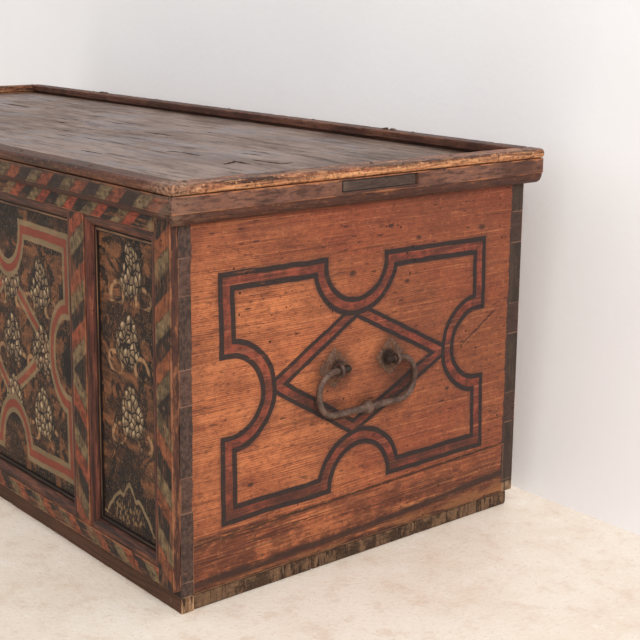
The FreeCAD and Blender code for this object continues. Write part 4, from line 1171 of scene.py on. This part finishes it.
def plank_finish(name, shift, foot):
    """Weathered top: grey where it is rubbed, brown where old varnish is left. foot is the
    height of the underside."""
    material, b, shader, place = start_finish(name)
    wood = grown(b, "x", shift, 0.006, (124, 101, 87), (92, 70, 59), (50, 38, 34))
    old = aged(b, place, 0.5)
    x, y, z = b.split(place)
    worn_patch = b.grain(place, (4.5, 8.0, 1.0), 5.0, 0.66)
    bloom = b.grain(place, (7.0, 15.0, 1.0), 4.0, 0.6, 0.3)
    streak = b.grain(place, (9.0, 95.0, 1.0), 5.0, 0.74)
    split = b.grain(place, (22.0, 210.0, 1.0), 5.0, 0.72)
    stain = b.grain(place, (3.0, 11.0, 1.0), 5.0, 0.7, 0.6)
    toward_edge = b.rise(abs(x) + worn_patch * 0.1, 0.7, 0.79)
    checks = b.rise(streak, 0.62, 0.68) * 0.7
    checks = b.most(checks, *scratches(b, b.join(x, y, 0.0), LID_CHECKS))
    colour = b.coats(wood["Colour"],
        (worn_patch, 0.42, 0.58, 0.72, (150, 127, 115)),
        (bloom, 0.5, 0.62, 0.62, (126, 118, 122)),
        (bloom, 0.46, 0.36, 0.62, (96, 71, 59)),
        (streak, 0.5, 0.62, 0.6, (76, 55, 47)),
        (streak, 0.6, 0.67, 0.8, (40, 29, 26)),
        (streak, 0.45, 0.36, 0.45, (178, 157, 142)),
        (split, 0.58, 0.64, 0.75, (52, 38, 34)),
        (stain, 0.54, 0.66, 0.5, (84, 60, 50)),
        (toward_edge, 0.45, (88, 66, 57)),
        (checks, 0.76, (46, 34, 30)),
        (old["Soot"], 0.25, (70, 52, 46)),
        (old["Holes"], (24, 17, 15)))
    # the underside, seen with the lid up, is bare wood
    under = grown(b, "x", shift, 0.006, (170, 132, 98), (142, 104, 74), (92, 66, 50))
    above = b.rise(z, foot + 0.016, foot + 0.0175)
    colour = b.mix(above, under["Colour"], colour)
    roughness = streak * 0.25 + (1 - worn_patch) * 0.3
    roughness = roughness + (0.2 + checks * 0.5)
    relief = wood["Relief"] - streak * 0.8 - (old["Holes"] * 2.0 + checks * 1.5)
    lay(b, shader, colour, roughness, relief, 0.0011)
    b.fill(shader, {"Specular IOR Level": (1 - checks) * 0.22})
    return material


for place, shift in (("front", 21.7), ("back", 25.9)):
    node = "lid_plank_" + place
    dress(node, plank_finish(node, shift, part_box(node)[0].z))
for hand_side, shift in (("left", 30.1), ("right", 31.6)):
    node = "lid_batten_" + hand_side
    low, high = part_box(node)
    dress(node, bare_wood(node, "y", shift, (172, 134, 100), (142, 104, 76), (92, 66, 50),
                          (190, 156, 120), low, high, wear=0.0012, soot_share=0.35))

# Lid edges
# Flat strips with a quarter round below are nailed on the front and the ends of the
# lid, mitred at the front corners. The right one has a piece let in, short at one end.

# half the width over the edge strips and over the rim, and the Y of the lid's worn front corners
EDGE_X, RIM_X, LID_FRONT = 0.769, 0.7705, -0.3055
wall_top, fascia_top, plank_top, rim_top = 0.507, 0.528, 0.525, 0.542
lid_back = 0.3365
# the recess for the let-in piece, along Y and Z
SLOT_Y, SLOT_Z = (-0.0475, 0.0865), (0.5115, 0.52655)


def from_corner(b, x, y, rubbed):
    """Distance from the lid's nearer front corner, made ragged."""
    away = b.distance(b.join(abs(x), y, 0.0), (EDGE_X, LID_FRONT, 0.0))
    return away + (rubbed - 0.5) * 0.08


def edge_finish(name, axis, shift, low, high, base, second, wear_tone, wear=0.0030, bars_phase=None,
                slot=None, rim_line=False):
    """Worn painted strip; wear bares the wood along its arrises. slot is the first and last Y and
    the outer X of a recess whose faces are painted near black as painted shade, and rim_line draws the dirt
    that gathers along a let-in edge."""
    material, b, shader, place = start_finish(name)
    wood = grown(b, axis, shift, 0.0035, wear_tone, (150, 92, 58), (84, 52, 38))
    worn = worn_at(b, place, low, high, wear)
    old = aged(b, place, 1.0)
    x, y, z = b.split(place)
    stretch = {"x": (14.0, 90.0, 90.0), "y": (90.0, 14.0, 90.0)}[axis]
    rubbed = b.grain(place, stretch, 5.0, 0.72)
    colour = b.mix(b.rise(b.noise(place, 9.0, 4.0, 0.6), 0.38, 0.62), base, second)
    if bars_phase is not None:
        paint = b.use(bars, {"Phase": bars_phase(x, z), "Place": place, "Dull": 0.5})
        face = b.fall(y, low[1] + 0.0008, low[1] + 0.003) * b.fall(z, high[2] - 0.004, high[2] - 0.0024)
        barred = b.mix(paint["Gap"] * 0.6, paint["Colour"], (40, 31, 28))
        colour = b.coats(colour, (face, 0.72, barred))
    step_z = low[2] + (0.0165 if axis == "y" else 0.0090)
    scored = b.grain(place, [2.8 * s for s in stretch], 4.0, 0.7)
    flaked = b.grain(place, [1.4 * s + 25.0 for s in stretch], 5.0, 0.75)
    bared = b.fall(abs(z - step_z) - (rubbed - 0.5) * 0.008, 0.0001, 0.0014)
    bared = bared * b.rise(b.noise(place, 12.0, 3.0), 0.4, 0.54)
    # the first coat is painted shade on the quarter round under the strip's flat face
    colour = b.coats(colour,
        (b.fall(z, step_z - 0.001, step_z), 0.8, b.mix(rubbed, (52, 29, 24), (90, 52, 38))),
        (rubbed, 0.64, 0.72, 0.55, wood["Colour"]),
        (scored, 0.5, 0.6, 0.62, (54, 37, 32)),
        (scored, 0.43, 0.32, 0.4, b.mix(0.5, base, wear_tone)),
        (flaked, 0.54, 0.62, 0.5, (52, 34, 29)),
        (flaked, 0.41, 0.34, 0.45, b.mix(0.6, base, wear_tone)),
        (b.most(worn["Wear"], bared), 0.75, wood["Colour"]))
    # the front corners, where the lid is taken hold of, are rubbed pale
    corner = b.fall(from_corner(b, x, y, rubbed), 0.012, 0.06) * b.fall(flaked, 0.44, 0.6)
    colour = b.coats(colour, (corner, 0.5, (126, 100, 84)))
    if rim_line:
        from_end = b.least(y - low[1], high[1] - y)
        from_side = b.least(z - (low[2] + 0.02), high[2] - z)
        colour = b.coats(colour, (b.least(from_end, from_side), 0.0022, 0.0008, 0.9, (22, 16, 15)))
    if slot is not None:
        # the recess beside the let-in piece is painted near black: painted shade in the gap
        first, last, depth = slot
        over = b.between(y, (first - 0.0002, first), (last, last + 0.0002))
        hollow = b.fall(x, depth - 0.001, depth) * over
        hollow = hollow * b.between(z, (0.511, 0.5116), (0.5265, 0.5271))
        colour = b.coats(colour, (hollow, (16, 11, 10)))
    roughness = rubbed * 0.3 + 0.42
    relief = wood["Relief"] - worn["Wear"] * 0.5 - (old["Holes"] * 2.5 + old["Dents"] * 0.5)
    colour = b.coats(colour,
        (old["Soot"], 0.35, (58, 44, 40)),
        (old["Holes"], (20, 13, 11)))
    lay(b, shader, colour, roughness, relief, 0.0010)
    return material


def ovolo_corners(face, inward, top, thickness, drop):
    """Corners of a flat strip over a quarter round: the face, a small step, points on the
    quarter round from the step in to the foot, and the flat back."""
    def at(run, height):
        return (face + inward * run, height)
    start = thickness - 0.0015
    points = [at(0, top), at(0, wall_top), at(0.0015, wall_top)]
    for angle in np.radians((22, 45, 68)):
        points.append(at(0.0015 + (start - 0.002) * (1 - math.cos(angle)),
                         wall_top - drop * math.sin(angle)))
    points += [at(thickness - 0.002, wall_top - drop), at(thickness, wall_top - drop), at(thickness, top)]
    return points


def corner_rounding(limit_x, limit_y, radius):
    """Rounds the lid's front corners in plan: a point nearer than the radius to both outer
    planes moves in to the circle round the corner's centre."""
    def plan(rings):
        a = limit_x - np.abs(rings[..., 0])
        b = rings[..., 1] - limit_y
        away = np.hypot(a - radius, b - radius)
        inside = (a < radius) & (b < radius) & (away > radius)
        pull = np.where(inside, radius / np.maximum(away, 1e-9), 1.0)
        moved = rings.copy()
        side = np.sign(rings[..., 0])
        moved[..., 0] = np.where(inside, side * (limit_x - radius - (a - radius) * pull), rings[..., 0])
        moved[..., 1] = np.where(inside, limit_y + radius + (b - radius) * pull, rings[..., 1])
        return moved
    return plan


OVOLO_RADII = [0.0010, 0.0016, *[0.0004] * 4, 0.0010, 0.0004, 0.0006]
strip_plan = corner_rounding(EDGE_X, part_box("lid_fascia_front")[0].y, 0.011)
low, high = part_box("lid_fascia_front")
strip_front = edge_finish("lid_fascia_front", "x", 33.0, low, high, (56, 41, 35), (86, 63, 52),
                          (120, 82, 60), bars_phase=rail_phase(0.689, 0.03, 1.25, 0.512))
piece = stick("lid_strip_front", "x",
              ovolo_corners(low.y, 1.0, fascia_top, 0.0095, 0.0085),
              lambda p: -EDGE_X + (p[..., 0] - low.y), lambda p: EDGE_X - (p[..., 0] - low.y),
              OVOLO_RADII, 801, strip_front, plan=strip_plan)
mount(piece, "lid", "lid_fascia_front")
for side, hand_side in SIDES:
    node = "lid_fascia_" + hand_side
    low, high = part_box(node)
    strip_side = edge_finish(node, "y", 35.0 + side, low, high, (88, 57, 46), (126, 87, 72),
                             (190, 124, 82), slot=(-0.048, 0.087, 0.7675) if side == 1 else None)
    corners = ovolo_corners(side * EDGE_X, -side, fascia_top, 0.018, 0.016)
    radii = list(OVOLO_RADII)
    changes, bend = (), None
    if side == 1:
        # the recess for the let-in piece: two more corners each way, pushed in over its length
        foot, top = SLOT_Z
        corners[1:1] = [(EDGE_X, height) for height in (top + 5e-5, top, foot + 5e-5, foot)]
        radii[1:1] = [0.0002] * 4
        full = lid_back - low.y
        first, last = ((y - low.y) / full for y in SLOT_Y)
        changes = (first - 1e-4, first, last, last + 1e-4)
        def bend(moving, share, first=first, last=last):
            inside = (share > first - 5e-5) & (share < last + 5e-5)
            moving[:, 2:4, 0] -= 0.008 * inside[:, None]
            return moving
    piece = stick("lid_strip_" + hand_side, "y", corners,
                  lambda p, side=side, low=low: low.y + np.clip(EDGE_X - side * p[..., 0], 0, 0.0095),
                  lid_back, radii, 830 + 30 * side, strip_side, bend=bend, changes=changes,
                  plan=strip_plan)
    mount(piece, "lid", node)
low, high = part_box("lid_fascia_patch")
patch_wood = edge_finish("lid_fascia_patch", "y", 39.0, low - Vector((0, 0, 0.02)), high, (72, 57, 50),
                         (104, 86, 76), (122, 92, 72), wear=0.0008, rim_line=True)
board("let_in_piece", "lid_fascia_patch", "y", 0.0006, 870, patch_wood, "lid", "fascia_wood")

# Lid rim
# A half-round strip stands round the lid on three sides, undercut along its inside,
# and a flat rail closes the back. Hands have worn its outer edge to bare wood.


def rim_finish(name, axis, shift, foot, bareness):
    """Brown top, bare orange wood on the lower half of the round, dark rubbed specks."""
    material, b, shader, place = start_finish(name)
    wood = grown(b, axis, shift, 0.003, (226, 165, 116), (182, 115, 78), (84, 52, 38))
    old = aged(b, place, 1.2)
    x, y, z = b.split(place)
    stretch = {"x": (11.0, 110.0, 150.0), "y": (110.0, 11.0, 150.0)}[axis]
    rubbed = b.grain(place, stretch, 5.0, 0.75)
    patch = b.grain(place, [0.35 * s for s in stretch], 3.0, 0.6)
    height = (z - foot) * (1 / 0.017) + (rubbed - 0.5) * 1.6
    brown = (84, 47, 34) if bareness < 0.5 else (120, 74, 54)
    bare = b.fall(height, 0.45, 0.95) * b.rise(patch, 0.38, 0.52)
    paint = b.coats(b.mix(b.rise(patch, 0.4, 0.6), (38, 24, 20), brown),
        (rubbed, 0.44, 0.6, bareness, (164, 102, 72)))
    colour = b.mix(bare * (0.9 * bareness), paint, wood["Colour"])
    fine = b.grain(place, [2.6 * s for s in stretch], 4.0, 0.7)
    chips = b.grain(place, (190.0, 190.0, 240.0), 5.0, 0.75)
    relief = wood["Relief"] + rubbed * 0.9 - old["Holes"] * 2.5
    colour = b.coats(colour,
        (fine, 0.5, 0.62, 0.7, (88, 53, 41)),
        (fine, 0.46, 0.36, 0.55 * bareness, (228, 170, 118)),
        (rubbed, 0.58, 0.66, 0.7, (52, 33, 27)),
        (chips, 0.54, 0.61, 0.75, (50, 32, 27)),
        (chips, 0.42, 0.35, 0.75 * max(bareness, 0.3), (236, 182, 132)),
        (old["Soot"], 0.25, (78, 54, 44)),
        (from_corner(b, x, y, rubbed), 0.07, 0.016, 0.6,
         b.mix(b.rise(chips, 0.4, 0.58), (186, 146, 118), (98, 70, 56))),
        (old["Holes"], (22, 14, 12)))
    lay(b, shader, colour, rubbed * 0.3 + 0.38, relief, 0.0014)
    return material


def rim_corners(outer, inward):
    """Corners of the rim's section: points on the half round outside, the flat top, the
    inner face, the undercut, and the foot that sits on plank and edge strip."""
    def at(run, height):
        return (outer + inward * run, height)
    points = []
    for angle in np.radians((250, 215, 180, 145, 110)):
        points.append(at(0.007 + 0.007 * math.cos(angle), 0.535 + 0.007 * math.sin(angle)))
    return points + [at(0.0335, rim_top), at(0.0335, 0.530), at(0.0255, 0.530), at(0.0255, plank_top),
                     at(0.0195, plank_top), at(0.0195, fascia_top), at(0.0095, fascia_top)]


RIM_RADII = [0.0014, 0.0024, 0.0020, 0.0022, 0.0022, 0.0026, 0.0008, 0.0002, 0.0004, *[0.0002] * 3]
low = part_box("lid_rim_front")[0]
rim_y = low.y
rim_plan = corner_rounding(RIM_X, rim_y, 0.016)
piece = stick("rim_front", "x", rim_corners(rim_y, 1.0),
              lambda p: -RIM_X + (p[..., 0] - rim_y), lambda p: RIM_X - (p[..., 0] - rim_y),
              RIM_RADII, 901, rim_finish("lid_rim_front", "x", 41.0, low.z, 0.12), plan=rim_plan, step=0.004)
mount(piece, "lid", "lid_rim_front")
for side, hand_side in SIDES:
    node = "lid_rim_" + hand_side
    finish = rim_finish(node, "y", 43.0 + side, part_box(node)[0].z, 1.0)
    piece = stick("rim_" + hand_side, "y", rim_corners(side * RIM_X, -side),
                  lambda p, side=side: rim_y + (RIM_X - side * p[..., 0]), lid_back, RIM_RADII, 930 + side,
                  finish, plan=rim_plan, step=0.004)
    mount(piece, "lid", node)
low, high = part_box("lid_rail_back")
rail_wood = edge_finish("lid_rail_back", "x", 47.0, low - Vector((0, 0, 0.02)), high, (78, 48, 38),
                        (108, 70, 55), (140, 92, 68), wear=0.0016)
rail_corners = [(0.3085, 0.530), (0.3085, rim_top), (lid_back, rim_top), (lid_back, plank_top),
                (0.3165, plank_top), (0.3165, 0.530)]
piece = stick("back_rail", "x", rail_corners, -0.737, 0.737,
              [0.0010, 0.0022, 0.0020, 0.0008, 0.0003, 0.0003], 951, rail_wood)
mount(piece, "lid", "lid_rail_back")

# Room, lamps and camera
# A pale stone floor and a plain wall close behind the chest, soft light from above
# and from the right, and the camera where the photographer stood.


def seen_by(b):
    """1 for a ray from the camera or one mirrored, otherwise 0."""
    return b.most(b.put("LightPath", out=0), b.put("LightPath", out=3))


def sheet(name, corners, material):
    mesh = bpy.data.meshes.new(name)
    mesh.from_pydata(corners, [], [(0, 1, 2, 3)])
    mesh.materials.append(material)
    piece = bpy.data.objects.new(name, mesh)
    scene.collection.objects.link(piece)


floor_stone, b, shader, place = start_finish("floor_stone")
blotch = b.noise(place, 3.5, 5.0, 0.6)
speck = b.noise(place, 160.0, 4.0, 0.7)
worn = b.noise(place, 24.0, 5.0, 0.7)
colour = b.coats(b.mix(b.rise(blotch, 0.35, 0.65), (240, 224, 206), (249, 237, 223)),
    (worn, 0.5, 0.68, 0.55, (228, 205, 185)),
    (worn, 0.46, 0.32, 0.6, (252, 243, 232)),
    (speck, 0.55, 0.68, 0.5, (220, 196, 174)))
lay(b, shader, colour, blotch * 0.2 + 0.6, speck + blotch, 0.0012)
sheet("floor", [(-6, -6, 0), (7, -6, 0), (7, 6, 0), (-6, 6, 0)], floor_stone)

wall_paint, b, shader, place = start_finish("wall_paint")
cloud = b.noise(place, 2.2, 4.0, 0.55)
colour = b.mix(b.rise(cloud, 0.35, 0.65), (249, 249, 251), (252, 253, 255))
lay(b, shader, colour, cloud * 0.1 + 0.8, b.noise(place, 60.0, 4.0, 0.6), 0.0006)
front_side = 1 - b.put("NewGeometry", out=6)
clear = b.put("BsdfTransparent")
joined = b.put("MixShader", {0: front_side * seen_by(b), 1: clear, 2: Value(b, shader.outputs[0])})
b.fill(b.tree.nodes["Material Output"], {"Surface": joined})
# the wall leans back by 12 in 100, so that the open lid stays clear of it
wall_y, wall_top_y = 0.3685, 0.8485
sheet("wall", [(-6, wall_y, 0), (7, wall_y, 0), (7, wall_top_y, 4), (-6, wall_top_y, 4)], wall_paint)

world = bpy.data.worlds.new("studio_air")
scene.world = world
world.use_nodes = True
b = Brush(world.node_tree)
air = world.node_tree.nodes["Background"]
air.inputs["Color"].default_value = (1.0, 0.99, 0.98, 1.0)
air.inputs["Strength"].default_value = 0.70
backdrop = b.put("Background", {"Color": (226, 221, 217), "Strength": 1.0})
both = b.put("MixShader", {0: seen_by(b), 1: Value(b, air.outputs[0]), 2: backdrop})
b.fill(b.tree.nodes["World Output"], {"Surface": both})


def lamp(name, place, aim, size, power, colour):
    light = bpy.data.lights.new(name, "AREA")
    light.shape = "DISK"
    light.size = size
    light.energy = power
    light.color = colour
    holder = bpy.data.objects.new(name, light)
    holder.location = place
    holder.rotation_mode = "QUATERNION"
    holder.rotation_quaternion = (Vector(aim) - Vector(place)).to_track_quat("-Z", "Y")
    scene.collection.objects.link(holder)


lamp("key_light", (5.2, -2.0, 3.9), (0.3, 0.0, 0.3), 3.0, 228.0, (1.0, 0.985, 0.965))
lamp("fill_light", (-2.6, -3.0, 2.4), (0.0, 0.0, 0.3), 3.0, 8.0, (0.96, 0.98, 1.0))
lamp("back_light", (-1.5, 3.6, 2.8), (0.0, 0.2, 0.3), 3.0, 34.0, (1.0, 0.99, 0.97))

yaw, pitch, roll = (math.radians(v) for v in (50.2708, 11.3740, 0.6467))
ahead = Vector((-math.sin(yaw) * math.cos(pitch), math.cos(yaw) * math.cos(pitch), -math.sin(pitch)))
level = Vector((math.cos(yaw), math.sin(yaw), 0.0))
upright = level.cross(ahead)
right = math.cos(roll) * level + math.sin(roll) * upright
top = -math.sin(roll) * level + math.cos(roll) * upright
eye = bpy.data.cameras.new("camera")
eye.sensor_width = 36.0
eye.lens = 74.279
eye.shift_y = -0.1
eye.clip_start, eye.clip_end = 0.05, 50.0
camera = bpy.data.objects.new("camera", eye)
camera.matrix_world = Matrix.Translation((2.024743, -1.126195, 0.762281)) @ Matrix(
    (right, top, -ahead)).transposed().to_4x4()
scene.collection.objects.link(camera)
scene.camera = camera
scene.view_settings.view_transform = "Standard"
